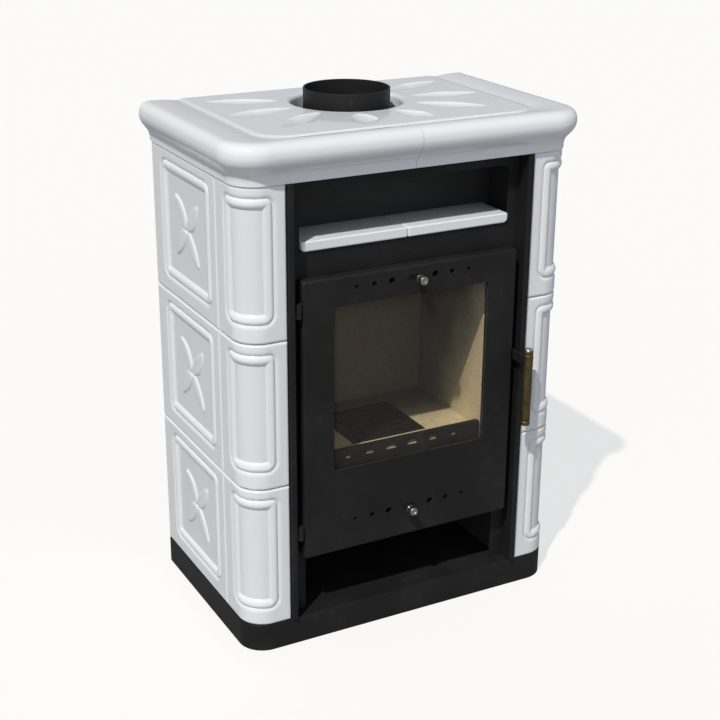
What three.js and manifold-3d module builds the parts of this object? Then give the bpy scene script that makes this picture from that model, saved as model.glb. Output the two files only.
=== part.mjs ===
// A wood stove clad in glazed relief tiles. Millimetres, +Z up, front towards -Y.
// The origin is on the floor, under the middle of the plinth.
import * as THREE from 'three';
import { mergeVertices } from 'three/addons/utils/BufferGeometryUtils.js';
import Module from 'manifold-3d';

const wasm = await Module();
wasm.setup();

// Overall form
const bodyWidth = 615;              // over the side tiles
const bodyDepth = 376;              // tile front face to the rear edge
const cornerRadius = 45;            // front corners of plinth and tiles
const plinthHeight = 50;
const tileRows = 3;
const tilePitch = 256;
const fit = 0.3;                    // between pieces that touch
const sheet = 2.5;                  // folded steel sheet
const plate = 4;                    // welded firebox plate
const facets = 28;                  // sides of a large round form
const cut = 5;                      // how far a cutting tool runs past a face

// Tiles
const tileThickness = 22;
const tileSeam = 0.8;
const tileEdgeRound = 5;
const cornerTileFront = 79.2;       // width of a corner tile on the front
const cornerTileSide = 96;          // and along the side
const beadWidth = 13;
const beadRadius = 16;              // rounding of the bead's outline
const beadDepth = 4;                // the groove and the field below the border
const beadCrest = 0.4;              // how far the bead stands above the border
const grooveWidth = 4.5;
const sideBeadMargin = { front: 30, rear: 45, bottom: 30.5, top: 21 };
const cornerBeadMargin = { front: 23.7, rear: 35, bottom: 32.5, top: 19.5 };
const leafLength = 72;
const leafWidth = 19;
const leafHeight = 4.2;
const leafRings = 7;                // rings of faces along a leaf or a petal
const leafStart = 7;                // from the middle of the ornament to a leaf

// Top slab
const slabOverhang = 19.3;
const slabFrontOverhang = 24;
const slabThickness = 68.2;
const slabSeam = 0.8;
const rimInset = 57.5;              // side of the body to the raised panel
const rimFrontInset = 28;
const panelCornerRadius = 48;
const panelDrop = 1.2;              // raised panel below the crest of the edge
const grooveDrop = 3.4;             // groove between them, below the crest
const rosetteHole = 96;             // radius of the hole round the flue
const rosetteLip = 9;
const petalInner = 120;
const petalOuter = 240;
const petalFrontOuter = 200;
const petalWidth = 27;
const petalDepth = 4.2;
const petalAngles = [21, -10, -39, -73];

// Flue
const flueSetback = 137;            // flue axis to the rear edge of the body
const flueDiameter = 150;
const flueWall = 3;
const flueHeight = 90;              // rim above the tiles
const flueLip = 1;
const flueFlangeRadius = 86;

// Steel front
const cheekWidth = 11;
const cheekProud = 5;               // cheek in front of the tiles
const cheekDepth = 65;
const panelSetback = 24;            // front panel behind the tile face
const woodNicheInset = 27;          // cheek to the edge of the wood niche
const warmNicheInset = 21;          // cheek to the edge of the warming niche
const woodNicheHeight = 112;
const nicheRounding = 12;
const headerHeight = 21;
const warmNicheHeight = 82;         // clear height above the shelf
const shelfThickness = 17;
const shelfDepth = 82;
const shelfProud = 4;
const shelfRounding = 8;
const nicheFloorGap = 0.6;          // shelf to the edge of its opening

// Door
const doorSideGap = 14;
const doorBottomOverlap = 1;
const doorHeaderGap = 42;           // top of the door to the shelf
const doorProud = 2;
const doorDepth = 21;
const doorRounding = 4;
const windowSideInset = 56;
const windowBottomInset = 153.5;
const windowTopInset = 50;
const windowRounding = 6;
const glassThickness = 4;
const glassLap = 10;
const gasketThickness = 2;
const retainerWidth = 17;
const retainerThickness = 2;
const retainerPast = 3;             // retainer past the edge of the glass
const ropeDiameter = 11.6;
const ropeInset = 25;               // side of the door to the middle of the rope
const ropeEndInset = 12;            // top and bottom of the door to the rope
const ropeCorner = 16;
const ropeSlack = 0.2;
const channelDepth = 7.2;
const channelSheet = 2;

// Air controls
const airRowTopInset = 20.5;
const airRowBottomInset = 55.5;
const airHoleShare = 0.279;         // first hole from the middle, as a share of half the window
const airStepShare = 0.2228;        // from one hole to the next, as a share of the same
const airPlateShare = 0.85;         // half of the sliding plate, as a share of the same
const airHoleSizes = [11, 8.5, 6];
const airSlotWidth = 22;
const airSlotHeight = 9;
const airKnobOffset = 5;
const airPlateThickness = 2;
const airPlateHeight = 24;
const airTravel = 13;
const airGuideLip = 4;
const airGuideSheet = 1.5;
const knobRadius = 7.2;
const knobLength = 16;
const knobEdge = 0.9;
const knobStemRadius = 3;
const knobStemLength = 11;

// Hinges
const hingeAxisGap = 6.5;           // door edge to the hinge axis
const hingeRadius = 4.5;
const hingePinRadius = 2.2;
const hingePinSlack = 0.1;
const hingeHalfHeight = 12.5;
const hingeEndInset = 47;           // top of the door to the upper hinge
const hingeLowInset = 51;
const hingeSetback = 1;             // door front to the hinge axis
const hingeWingInset = 5;           // rear of the door to the end of a wing

// Latch
const latchInset = 194;             // top of the door to the latch shaft
const latchShaftRadius = 5;
const latchShaftSetback = 12;       // door front to the shaft
const latchShaftSlack = 0.3;
const latchShaftEnd = 1.5;          // shaft past the pieces that it carries
const leverThickness = 5;
const leverGap = 2.5;
const leverHeight = 18;
const gripRadius = 8.5;
const gripLength = 140;
const gripBore = 4.3;
const gripAxisOffset = 14;          // door side to the axis of the grip
const gripProud = 28;               // door front to the axis of the grip
const gripTopRise = 16;             // shaft to the top of the grip
const gripCapHeight = 3;
const hookThickness = 4;
const hookGap = 2;                  // rope channel to the hook
const catchPinRadius = 2.5;
const catchClearance = 0.8;         // hook to the pin above it, with the door shut
const catchPinSetback = 5;          // front panel to the pin
const catchPinRise = 6;             // latch shaft to the pin
const catchGap = 4;                 // catch to the flange of the door
const catchThickness = 3;
const hookDrop = 8;                 // latch shaft to the underside of the hook
const hookBar = 5;                  // height of the hook's arm
const hookNoseGap = 1.2;            // nose of the hook to the front panel
const leverBarHalf = 3;             // half of the lever's arm behind the grip
const leverStubHalf = 6;            // half height of the stub into the grip
const leverHoleRadius = 3;
const coreSlack = 0.3;

// Firebox
const liningThickness = 30;
const chamberMargin = 13;           // window edge to the side lining
const chamberDepth = 223;           // front panel to the back lining
const chamberFloorRise = 5.5;       // window edge to the hearth
const chamberTopRise = 6;           // window edge to the top of the linings
const grateWidth = 146;
const grateDepth = 141;
const grateSetback = 46;            // front panel to the grate
const grateThickness = 10;
const grateLedge = 10;
const grateSlots = 9;
const grateSlotWidth = 7;
const baffleThickness = 20;
const baffleDepth = 136;
const guardHeight = 15;             // log guard above the hearth
const guardThickness = 3;
const guardLip = 8;
const guardHolePitch = 42;
const guardHoleRadii = [10, 8, 5.5];
const guardHoleDrop = 2.5;          // foot of the half moons below the hearth
const ashPanHeight = 55;
const ashPanDepth = 200;
const ashPanSideGap = 60;
const ashMouthInset = 35;           // side lining to the ash mouth
const ashMouthHeight = 85;
const shellRearGap = 4;

// Frame behind the tiles
const jacketGap = 3.2;              // cheek to the side sheet
const smokeBoxSetback = 48;         // rear edge of the body to the smoke box
const smokeBoxSlope = 40;
const railLeg = 38;
const shieldSetback = 5;
const ventRows = 2;
const ventCount = 7;
const ventWidth = 8;
const ventHeight = 70;
const baffleSlack = 2;              // baffle short of the firebox wall on each side

// Derived places
const halfWidth = bodyWidth / 2;
const frontY = -bodyDepth / 2;
const rearY = bodyDepth / 2;
const tilesTop = plinthHeight + tileRows * tilePitch;
const flueY = rearY - flueSetback;
const tileInnerX = halfWidth - tileThickness;
const cheekOuter = halfWidth - cornerTileFront - fit;
const cheekInner = cheekOuter - cheekWidth;
const panelY = frontY + panelSetback;
const panelBackY = panelY + sheet;
const jacketOuter = cheekInner - jacketGap;
const jacketInner = jacketOuter - sheet;
const nicheTop = tilesTop - headerHeight;
const shelfTop = nicheTop - warmNicheHeight;
const shelfBottom = shelfTop - shelfThickness;
const shelfRearY = panelY - shelfProud + shelfDepth;
const doorHalf = cheekInner - doorSideGap;
const doorBottom = plinthHeight + woodNicheHeight - doorBottomOverlap;
const doorTop = shelfBottom - doorHeaderGap;
const doorY = frontY - doorProud;
const doorPlateBack = doorY + sheet;
const windowHalf = doorHalf - windowSideInset;
const windowBottom = doorBottom + windowBottomInset;
const windowTop = doorTop - windowTopInset;
const chamberHalf = windowHalf + chamberMargin;
const chamberFloor = windowBottom + chamberFloorRise;
const chamberTop = windowTop + chamberTopRise;
const chamberBackY = panelY + chamberDepth;
const shellInner = chamberHalf + liningThickness + fit;
const shellOuter = shellInner + plate;
const shellFrontY = panelBackY + fit;
const shellBottom = plinthHeight + woodNicheHeight + plate;
const shellRearY = chamberBackY + liningThickness + fit + plate;
const smokeBoxRearY = rearY - smokeBoxSetback;
const nicheBackY = shelfRearY + fit + sheet;
const shellStepY = nicheBackY + fit;
const shellStepZ = shelfBottom - fit - sheet - fit;
const shellTop = tilesTop - sheet;
const hearthPlateTop = chamberFloor - liningThickness;
const upperRowZ = doorTop - airRowTopInset;
const lowerRowZ = doorBottom + airRowBottomInset;
const airHoleStart = windowHalf * airHoleShare;
const airHoleStep = windowHalf * airStepShare;
const airPlateHalf = windowHalf * airPlateShare;

const glaze = { color: 0xdfe3e7, roughness: 0.12, metalness: 0 };
const blackSteel = { color: 0x1c1c1d, roughness: 0.62, metalness: 0.2 };
const bareSteel = { color: 0x9b9a96, roughness: 0.32, metalness: 0.95 };
const agedBrass = { color: 0x6f6244, roughness: 0.4, metalness: 0.9 };
const castIron = { color: 0x242322, roughness: 0.8, metalness: 0.4 };
const fireBoard = { color: 0xd9c9a4, roughness: 0.95, metalness: 0 };
const fibreRope = { color: 0x8e8b84, roughness: 1, metalness: 0 };
const stoveGlass = { color: 0x7c6a4a, roughness: 0.05, metalness: 0, transparent: true, opacity: 0.3 };

const stove = new THREE.Group();

function toSolid(geometry) {
  const bare = geometry.clone();
  bare.deleteAttribute('normal');
  bare.deleteAttribute('uv');
  const merged = mergeVertices(bare, 1e-4);
  const triangles = [];
  for (let i = 0; i < merged.index.count; i += 3) {
    const [a, b, c] = [0, 1, 2].map((k) => merged.index.getX(i + k));
    if (a !== b && b !== c && c !== a) triangles.push(a, b, c);
  }
  return new wasm.Manifold(new wasm.Mesh({
    numProp: 3,
    vertProperties: new Float32Array(merged.attributes.position.array),
    triVerts: new Uint32Array(triangles),
  }));
}

function toGeometry(solid) {
  const mesh = solid.getMesh();
  const geometry = new THREE.BufferGeometry();
  geometry.setAttribute('position', new THREE.BufferAttribute(mesh.vertProperties, 3));
  geometry.setIndex(new THREE.BufferAttribute(mesh.triVerts, 1));
  return geometry;
}

// Joins the first list of shapes and cuts the second list out of them.
function carve(bodies, cuts = []) {
  let solid = toSolid(bodies[0]);
  for (const body of bodies.slice(1)) solid = solid.add(toSolid(body));
  for (const tool of cuts) solid = solid.subtract(toSolid(tool));
  return toGeometry(solid);
}

function keepInside(geometry, region) {
  return toGeometry(toSolid(geometry).intersect(toSolid(region)));
}

// Turns a closed surface the right way out, as after a reflection.
function faceOutward(geometry) {
  const p = geometry.attributes.position;
  const index = geometry.index;
  const corners = [new THREE.Vector3(), new THREE.Vector3(), new THREE.Vector3()];
  let volume = 0;
  for (let i = 0; i < index.count; i += 3) {
    corners.forEach((corner, k) => corner.fromBufferAttribute(p, index.getX(i + k)));
    volume += corners[0].dot(corners[1].clone().cross(corners[2]));
  }
  if (volume < 0) {
    for (let i = 0; i < index.count; i += 3) {
      const second = index.getX(i + 1);
      index.setX(i + 1, index.getX(i + 2));
      index.setX(i + 2, second);
    }
  }
  return geometry;
}

function mirrored(geometry) {
  const copy = toGeometry(toSolid(geometry));
  copy.scale(-1, 1, 1);
  return faceOutward(copy);
}

function addPart(name, geometry, finish) {
  geometry.computeVertexNormals();
  const mesh = new THREE.Mesh(geometry, new THREE.MeshStandardMaterial(finish));
  mesh.name = name;
  stove.add(mesh);
}

// The left piece as modelled and its mirror image on the right.
function addPair(name, geometry, finish) {
  addPart(`${name}_left`, geometry, finish);
  addPart(`${name}_right`, mirrored(geometry), finish);
}

function block(x0, x1, y0, y1, z0, z1) {
  const box = new THREE.BoxGeometry(x1 - x0, y1 - y0, z1 - z0);
  return box.translate((x0 + x1) / 2, (y0 + y1) / 2, (z0 + z1) / 2);
}

function extrude(shape, depth, curveSegments) {
  return new THREE.ExtrudeGeometry(shape, { depth, curveSegments, bevelEnabled: false });
}

// A shape drawn in X and Y, swept up from z0 to z1.
function sweepUp(shape, z0, z1, curveSegments = 5) {
  return extrude(shape, z1 - z0, curveSegments).translate(0, 0, z0);
}

// A shape drawn in X and Z, swept back from y0 to y1.
function sweepBack(shape, y0, y1, curveSegments = 2) {
  return extrude(shape, y1 - y0, curveSegments).rotateX(Math.PI / 2).translate(0, y1, 0);
}

// A shape drawn in Y and Z, swept sideways from x0 to x1.
function sweepAcross(shape, x0, x1, curveSegments = 5) {
  const turn = new THREE.Matrix4().set(0, 0, 1, x0, 1, 0, 0, 0, 0, 1, 0, 0, 0, 0, 0, 1);
  return extrude(shape, x1 - x0, curveSegments).applyMatrix4(turn);
}

function polygon(points) {
  return new THREE.Shape(points.map(([a, b]) => new THREE.Vector2(a, b)));
}

function roundedRect(a0, a1, b0, b1, radius) {
  const shape = new THREE.Shape();
  shape.absarc(a1 - radius, b0 + radius, radius, -Math.PI / 2, 0);
  shape.absarc(a1 - radius, b1 - radius, radius, 0, Math.PI / 2);
  shape.absarc(a0 + radius, b1 - radius, radius, Math.PI / 2, Math.PI);
  shape.absarc(a0 + radius, b0 + radius, radius, Math.PI, Math.PI * 1.5);
  return shape;
}

function frameShape(a0, a1, b0, b1, radius, width) {
  const shape = roundedRect(a0, a1, b0, b1, radius);
  const innerRadius = Math.max(radius - width, 1);
  shape.holes.push(roundedRect(a0 + width, a1 - width, b0 + width, b1 - width, innerRadius));
  return shape;
}

function rodUp(x, y, z0, z1, radius, sides) {
  const rod = new THREE.CylinderGeometry(radius, radius, z1 - z0, sides);
  return rod.rotateX(Math.PI / 2).translate(x, y, (z0 + z1) / 2);
}

function rodBack(x, z, y0, y1, radius, sides) {
  const rod = new THREE.CylinderGeometry(radius, radius, y1 - y0, sides);
  return rod.translate(x, (y0 + y1) / 2, z);
}

function rodAcross(y, z, x0, x1, radius, sides) {
  const rod = new THREE.CylinderGeometry(radius, radius, x1 - x0, sides);
  return rod.rotateZ(Math.PI / 2).translate((x0 + x1) / 2, y, z);
}

// A profile of [radius, height] turned about a vertical axis.
function turned(profile, sides) {
  const lathe = new THREE.LatheGeometry(profile.map(([r, h]) => new THREE.Vector2(r, h)), sides);
  return lathe.rotateX(Math.PI / 2);
}

// A rounded outline as points: the lower edge left to right, then the upper edge back.
// Every outline with the same inner stations has the same number of points.
function outlineRing({ u0, u1, v0, v1, radius }, stations = []) {
  const steps = 3;
  const corner = (cu, cv, start) => Array.from({ length: steps + 1 }, (_, k) => {
    const angle = start + (k / steps) * (Math.PI / 2);
    return [cu + radius * Math.cos(angle), cv + radius * Math.sin(angle)];
  });
  return [
    ...corner(u0 + radius, v0 + radius, Math.PI),
    ...stations.map((u) => [u, v0]),
    ...corner(u1 - radius, v0 + radius, Math.PI * 1.5),
    ...corner(u1 - radius, v1 - radius, 0),
    ...[...stations].reverse().map((u) => [u, v1]),
    ...corner(u0 + radius, v1 - radius, Math.PI / 2),
  ];
}

// Skins a stack of such rings, with a strip cap over the first and the last.
function loftRings(rings) {
  const count = rings[0].length;
  const position = new Float32Array(rings.flat().flatMap((p) => [p.x, p.y, p.z]));
  const index = [];
  const quad = (a, b, c, d) => index.push(a, b, c, a, c, d);
  for (let r = 0; r + 1 < rings.length; r += 1) {
    for (let i = 0; i < count; i += 1) {
      const next = (i + 1) % count;
      quad(r * count + i, r * count + next, (r + 1) * count + next, (r + 1) * count + i);
    }
  }
  const last = (rings.length - 1) * count;
  for (let i = 0; i + 1 < count / 2; i += 1) {
    quad(last + i, last + i + 1, last + count - 2 - i, last + count - 1 - i);
    quad(count - 1 - i, count - 2 - i, i + 1, i);
  }
  const geometry = new THREE.BufferGeometry();
  geometry.setAttribute('position', new THREE.BufferAttribute(position, 3));
  geometry.setIndex(index);
  return faceOutward(geometry);
}

// A pointed leaf along its local Y, with a ridge on top, or a smooth scoop with more sides.
function leaf(length, width, height, sides) {
  const geometry = new THREE.SphereGeometry(1, sides, leafRings);
  const p = geometry.attributes.position;
  for (let i = 0; i < p.count; i += 1) {
    const y = p.getY(i);
    p.setY(i, Math.sign(y) * Math.abs(y) ** 1.7);
  }
  return geometry.scale(width / 2, length / 2, height);
}

// A tile: rounded edge, flat border, groove, raised bead and sunken field.
// place(u, v, h) puts a point of the developed face, h out of the face, on the stove.
function tileBody(width, height, margin, rounding, stations, place) {
  const edge = (inset, radius) => ({
    u0: inset, u1: width - inset, v0: inset, v1: height - inset, radius,
  });
  const bead = (inset) => ({
    u0: margin.front + inset,
    u1: width - margin.rear - inset,
    v0: margin.bottom + inset,
    v1: height - margin.top - inset,
    radius: Math.max(rounding - inset, 1),
  });
  const steps = [
    [edge(0, 2), -tileThickness],
    [edge(0, 2), -tileEdgeRound],
    [edge(tileEdgeRound * 0.3, 3), -tileEdgeRound * 0.25],
    [edge(tileEdgeRound, 5), 0],
    [bead(-grooveWidth), 0],
    [bead(0), -beadDepth],
    [bead(beadWidth * 0.2), -beadDepth * 0.35],
    [bead(beadWidth * 0.5), beadCrest],
    [bead(beadWidth * 0.8), -beadDepth * 0.35],
    [bead(beadWidth), -beadDepth],
  ];
  return loftRings(steps.map(([outline, h]) => (
    outlineRing(outline, stations).map(([u, v]) => place(u, v, h))
  )));
}

function sideTile(row) {
  const width = bodyDepth - cornerTileSide - tileSeam / 2;
  const height = tilePitch - tileSeam;
  const startY = frontY + cornerTileSide + tileSeam / 2;
  const startZ = plinthHeight + row * tilePitch + fit;
  const place = (u, v, h) => new THREE.Vector3(-halfWidth - h, startY + u, startZ + v);
  const body = tileBody(width, height, sideBeadMargin, beadRadius, [], place);
  const centreU = (sideBeadMargin.front + width - sideBeadMargin.rear) / 2;
  const centreV = (sideBeadMargin.bottom + height - sideBeadMargin.top) / 2;
  const leaves = [45, 135, 225, 315].map((angle) => {
    const shape = leaf(leafLength, leafWidth, leafHeight, 4);
    shape.translate(0, leafStart + leafLength / 2, 0);
    shape.rotateZ(THREE.MathUtils.degToRad(angle));
    shape.rotateY(-Math.PI / 2);
    shape.rotateX(Math.PI / 2);
    return shape.translate(-halfWidth + beadDepth, startY + centreU, startZ + centreV);
  });
  return carve([body, ...leaves]);
}

function cornerTile(row) {
  const straight = cornerTileFront - cornerRadius;
  const arc = cornerRadius * (Math.PI / 2);
  const width = straight + arc + cornerTileSide - cornerRadius - tileSeam / 2;
  const height = tilePitch - tileSeam;
  const startZ = plinthHeight + row * tilePitch + fit;
  const place = (u, v, h) => {
    const z = startZ + v;
    if (u < straight) return new THREE.Vector3(-(cheekOuter + fit) - u, frontY - h, z);
    const angle = Math.min((u - straight) / cornerRadius, Math.PI / 2);
    const beyond = Math.max(u - straight - arc, 0);
    const radius = cornerRadius + h;
    return new THREE.Vector3(
      -halfWidth + cornerRadius - radius * Math.sin(angle),
      frontY + cornerRadius - radius * Math.cos(angle) + beyond,
      z,
    );
  };
  const stations = [0, 1, 2, 3, 4, 5].map((k) => straight + (k / 5) * arc);
  const rounding = straight - cornerBeadMargin.front;
  return tileBody(width, height, cornerBeadMargin, rounding, stations, place);
}

function buildTiles() {
  for (let row = 0; row < tileRows; row += 1) {
    addPair(`side_tile_${row + 1}`, sideTile(row), glaze);
    addPair(`corner_tile_${row + 1}`, cornerTile(row), glaze);
  }
}

// The outline of the plinth: square at the rear, rounded at the front.
function planOutline(inset, radius) {
  const half = halfWidth - inset;
  const front = frontY + inset;
  const shape = new THREE.Shape();
  shape.moveTo(half, rearY - inset);
  shape.lineTo(-half, rearY - inset);
  shape.absarc(-half + radius, front + radius, radius, Math.PI, Math.PI * 1.5);
  shape.absarc(half - radius, front + radius, radius, Math.PI * 1.5, Math.PI * 2);
  return shape;
}

function buildPlinth() {
  const rim = sheet;
  const hollow = sweepUp(planOutline(rim, cornerRadius - rim), -cut, plinthHeight - sheet);
  addPart('plinth', carve([sweepUp(planOutline(0, cornerRadius), 0, plinthHeight)], [hollow]), blackSteel);
  const inset = rim + fit;
  addPart('base_plate', sweepUp(planOutline(inset, cornerRadius - inset), 0, plate), blackSteel);
}

// A slab ring: how far it stands out at the sides, as a share of the overhang or of the rim.
function slabRing(out, z) {
  const side = out > 0 ? out * slabOverhang : out * rimInset;
  const front = out > 0 ? out * slabFrontOverhang : out * rimFrontInset;
  const radius = out > 0 ? cornerRadius + side : cornerRadius - out * (panelCornerRadius - cornerRadius);
  const beyondRear = slabOverhang + cornerRadius;
  const outline = outlineRing({
    u0: -halfWidth - side,
    u1: halfWidth + side,
    v0: frontY - front,
    v1: rearY + beyondRear + side,
    radius,
  });
  return outline.map(([x, y]) => new THREE.Vector3(x, y, tilesTop + fit + z));
}

// The moulded edge from the cove up over the bullnose, down into the groove and onto the panel.
function buildTopSlab() {
  const crest = slabThickness;
  const rise = [
    [0.08, 0],
    [0.1, crest * 0.22],
    [0.26, crest * 0.39],
    [0.65, crest * 0.55],
    [0.93, crest * 0.69],
    [1, crest * 0.8],
    [0.83, crest * 0.92],
    [0.47, crest * 0.98],
    [-0.01, crest],
    [-0.7, crest - grooveDrop * 0.65],
    [-0.86, crest - grooveDrop],
    [-0.94, crest - grooveDrop * 0.94],
    [-1, crest - panelDrop * 1.25],
    [-1.04, crest - panelDrop],
  ];
  const panelZ = tilesTop + fit + crest - panelDrop;
  const slab = loftRings(rise.map(([out, z]) => slabRing(out, z)));
  const top = tilesTop + 2 * slabThickness;
  const reach = bodyWidth;
  const hole = rodUp(0, flueY, tilesTop - cut, top, rosetteHole, facets);
  const lipCone = new THREE.CylinderGeometry(rosetteHole + 2 * rosetteLip, rosetteHole - rosetteLip,
    3 * rosetteLip, facets);
  lipCone.rotateX(Math.PI / 2).translate(0, flueY, panelZ + rosetteLip * 0.5);
  const petals = petalAngles.flatMap((angle) => [angle, 180 - angle]).map((angle) => {
    const outer = Math.abs(Math.sin(THREE.MathUtils.degToRad(angle))) > 0.9 ? petalFrontOuter : petalOuter;
    const shape = leaf(outer - petalInner, petalWidth, petalDepth, 12);
    shape.translate(0, (outer + petalInner) / 2, 0);
    shape.rotateZ(THREE.MathUtils.degToRad(angle - 90));
    return shape.translate(0, flueY, panelZ);
  });
  const rearCut = block(-reach, reach, rearY, rearY + reach, 0, top);
  const whole = carve([slab], [hole, lipCone, rearCut, ...petals]);
  const leftRegion = block(-reach, -slabSeam / 2, -reach, reach, 0, top);
  const rightRegion = block(slabSeam / 2, reach, -reach, reach, 0, top);
  addPart('top_slab_left', keepInside(whole, leftRegion), glaze);
  addPart('top_slab_right', keepInside(whole, rightRegion), glaze);
}

function buildShelf() {
  const half = cheekInner - warmNicheInset - 1;
  const soften = 2;
  const r = shelfRounding - soften;
  const [x0, x1] = [-half + soften, -slabSeam / 2 - soften];
  const [z0, z1] = [shelfBottom + soften, shelfTop - soften];
  const shape = new THREE.Shape();
  shape.moveTo(x1, z0);
  shape.lineTo(x1, z1);
  shape.absarc(x0 + 1, z1 - 1, 1, Math.PI / 2, Math.PI);
  shape.absarc(x0 + r, z0 + r, r, Math.PI, Math.PI * 1.5);
  const y0 = panelY - shelfProud;
  const slab = new THREE.ExtrudeGeometry(shape, {
    depth: shelfRearY - y0 - 2 * soften,
    curveSegments: 4,
    bevelSize: soften,
    bevelThickness: soften,
    bevelSegments: 2,
  });
  slab.rotateX(Math.PI / 2).translate(0, shelfRearY - soften, 0);
  addPair('warming_shelf', carve([slab]), glaze);
}

// Steel front panel with the wood niche, ash mouth, fire mouth and warming niche.
function buildFrontPanel() {
  const half = cheekInner - fit;
  const body = block(-half, half, panelY, panelBackY, plinthHeight + fit, tilesTop - fit);
  const woodHalf = cheekInner - woodNicheInset;
  const warmHalf = cheekInner - warmNicheInset;
  const [y0, y1] = [panelY - cut, panelBackY + cut];
  const woodTop = plinthHeight + woodNicheHeight;
  const wood = block(-woodHalf, woodHalf, y0, y1, plinthHeight - cut, woodTop);
  const ashHalf = chamberHalf - ashMouthInset;
  const ashFloor = shellBottom + plate;
  const ash = block(-ashHalf, ashHalf, y0, y1, ashFloor, ashFloor + ashMouthHeight);
  const fire = sweepBack(
    roundedRect(-chamberHalf, chamberHalf, hearthPlateTop + plate, chamberTop, windowRounding), y0, y1, 3);
  const warm = sweepBack(
    roundedRect(-warmHalf, warmHalf, shelfBottom - nicheFloorGap, nicheTop, nicheRounding), y0, y1, 5);
  const warmFoot = block(-warmHalf, warmHalf, y0, y1, shelfBottom - nicheFloorGap, shelfTop);
  addPart('front_panel', carve([body], [wood, ash, fire, warm, warmFoot]), blackSteel);
}

// The steel cheek beside the opening, a folded channel with a rounded front.
function buildCheeks() {
  const x0 = -cheekOuter;
  const x1 = -cheekInner;
  const front = frontY - cheekProud;
  const returnY = frontY + tileThickness;
  const shape = new THREE.Shape();
  shape.moveTo(x1, front + cheekDepth);
  shape.lineTo(x1 - sheet, front + cheekDepth);
  shape.lineTo(x1 - sheet, front + sheet);
  shape.lineTo(x0 + sheet, front + sheet);
  shape.lineTo(x0 + sheet, returnY);
  shape.lineTo(x0, returnY);
  shape.absarc(x0 + sheet, front + sheet, sheet, Math.PI, Math.PI * 1.5);
  shape.absarc(x1 - sheet, front + sheet, sheet, Math.PI * 1.5, Math.PI * 2);
  addPair('cheek', sweepUp(shape, plinthHeight + fit, tilesTop, 3), blackSteel);
}

// Uprights that the tiles stand against.
function buildRails() {
  const [z0, z1] = [plinthHeight + fit, tilesTop - fit];
  const tileBackY = frontY + tileThickness + fit;
  const frontX = -cheekInner - sheet - fit;
  addPair('front_rail', sweepUp(polygon([
    [frontX, tileBackY],
    [frontX, tileBackY + railLeg],
    [frontX - sheet, tileBackY + railLeg],
    [frontX - sheet, tileBackY + sheet],
    [frontX - railLeg, tileBackY + sheet],
    [frontX - railLeg, tileBackY],
  ]), z0, z1), blackSteel);
  const backX = -tileInnerX + fit;
  const railRearY = rearY - shieldSetback - sheet - fit;
  addPair('rear_rail', sweepUp(polygon([
    [backX, railRearY],
    [backX, railRearY - railLeg],
    [backX + sheet, railRearY - railLeg],
    [backX + sheet, railRearY - sheet],
    [backX + railLeg, railRearY - sheet],
    [backX + railLeg, railRearY],
  ]), z0, z1), blackSteel);
}

function buildRearShield() {
  const half = tileInnerX - fit;
  const y1 = rearY - shieldSetback;
  const y0 = y1 - sheet;
  const body = block(-half, half, y0, y1, plinthHeight + fit, tilesTop - fit);
  const vents = [];
  const pitch = (2 * half) / (ventCount + 1);
  for (let row = 0; row < ventRows; row += 1) {
    const middle = plinthHeight + (tilesTop - plinthHeight) * (row + 0.5) / ventRows;
    for (let k = 1; k <= ventCount; k += 1) {
      const x = -half + k * pitch;
      vents.push(block(x - ventWidth / 2, x + ventWidth / 2, y0 - cut, y1 + cut,
        middle - ventHeight / 2, middle + ventHeight / 2));
    }
  }
  addPart('rear_shield', carve([body], vents), blackSteel);
}

// A folded sheet round the sides and the back of the body, between the panel and the smoke box.
function buildJacket() {
  const y1 = smokeBoxRearY + fit;
  addPart('jacket', sweepUp(polygon([
    [-jacketOuter, shellFrontY],
    [-jacketInner, shellFrontY],
    [-jacketInner, y1],
    [jacketInner, y1],
    [jacketInner, shellFrontY],
    [jacketOuter, shellFrontY],
    [jacketOuter, y1 + sheet],
    [-jacketOuter, y1 + sheet],
  ]), plinthHeight + fit, tilesTop - fit), blackSteel);
}

function buildNicheLiner() {
  const half = jacketInner - fit;
  const outer = block(-half, half, shellFrontY, nicheBackY, shelfBottom - fit - sheet, tilesTop - fit);
  const inner = block(-half + sheet, half - sheet, shellFrontY - cut, nicheBackY - sheet,
    shelfBottom - fit, tilesTop - fit - sheet);
  addPart('niche_liner', carve([outer], [inner]), blackSteel);
}

// The welded firebox with its smoke box above, open to the front.
function buildFirebox() {
  const step = smokeBoxSlope;
  const bendZ = chamberTop + baffleThickness;
  const profile = (wall, front) => polygon([
    [front, shellBottom + wall],
    [shellRearY - wall, shellBottom + wall],
    [shellRearY - wall, bendZ],
    [smokeBoxRearY - wall, bendZ + step],
    [smokeBoxRearY - wall, shellTop - wall],
    [shellStepY + wall, shellTop - wall],
    [shellStepY + wall, shellStepZ - wall],
    [front, shellStepZ - wall],
  ]);
  const outer = sweepAcross(profile(0, shellFrontY), -shellOuter, shellOuter);
  const inner = sweepAcross(profile(plate, shellFrontY - cut), -shellInner, shellInner);
  const floorRear = shellRearY - plate / 2;
  const floorSide = shellInner + plate / 2;
  const floor = block(-floorSide, floorSide, shellFrontY, floorRear, hearthPlateTop - plate, hearthPlateTop);
  const mouthHalf = grateWidth / 2 - grateLedge;
  const mouthY = panelY + grateSetback + grateLedge;
  const mouth = block(-mouthHalf, mouthHalf, mouthY, mouthY + grateDepth - 2 * grateLedge,
    hearthPlateTop - plate - cut, hearthPlateTop + cut);
  const flue = rodUp(0, flueY, shellTop - plate - cut, shellTop + cut, flueDiameter / 2 - flueWall, facets);
  addPart('firebox', carve([carve([outer], [inner]), floor], [mouth, flue]), blackSteel);
}

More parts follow.
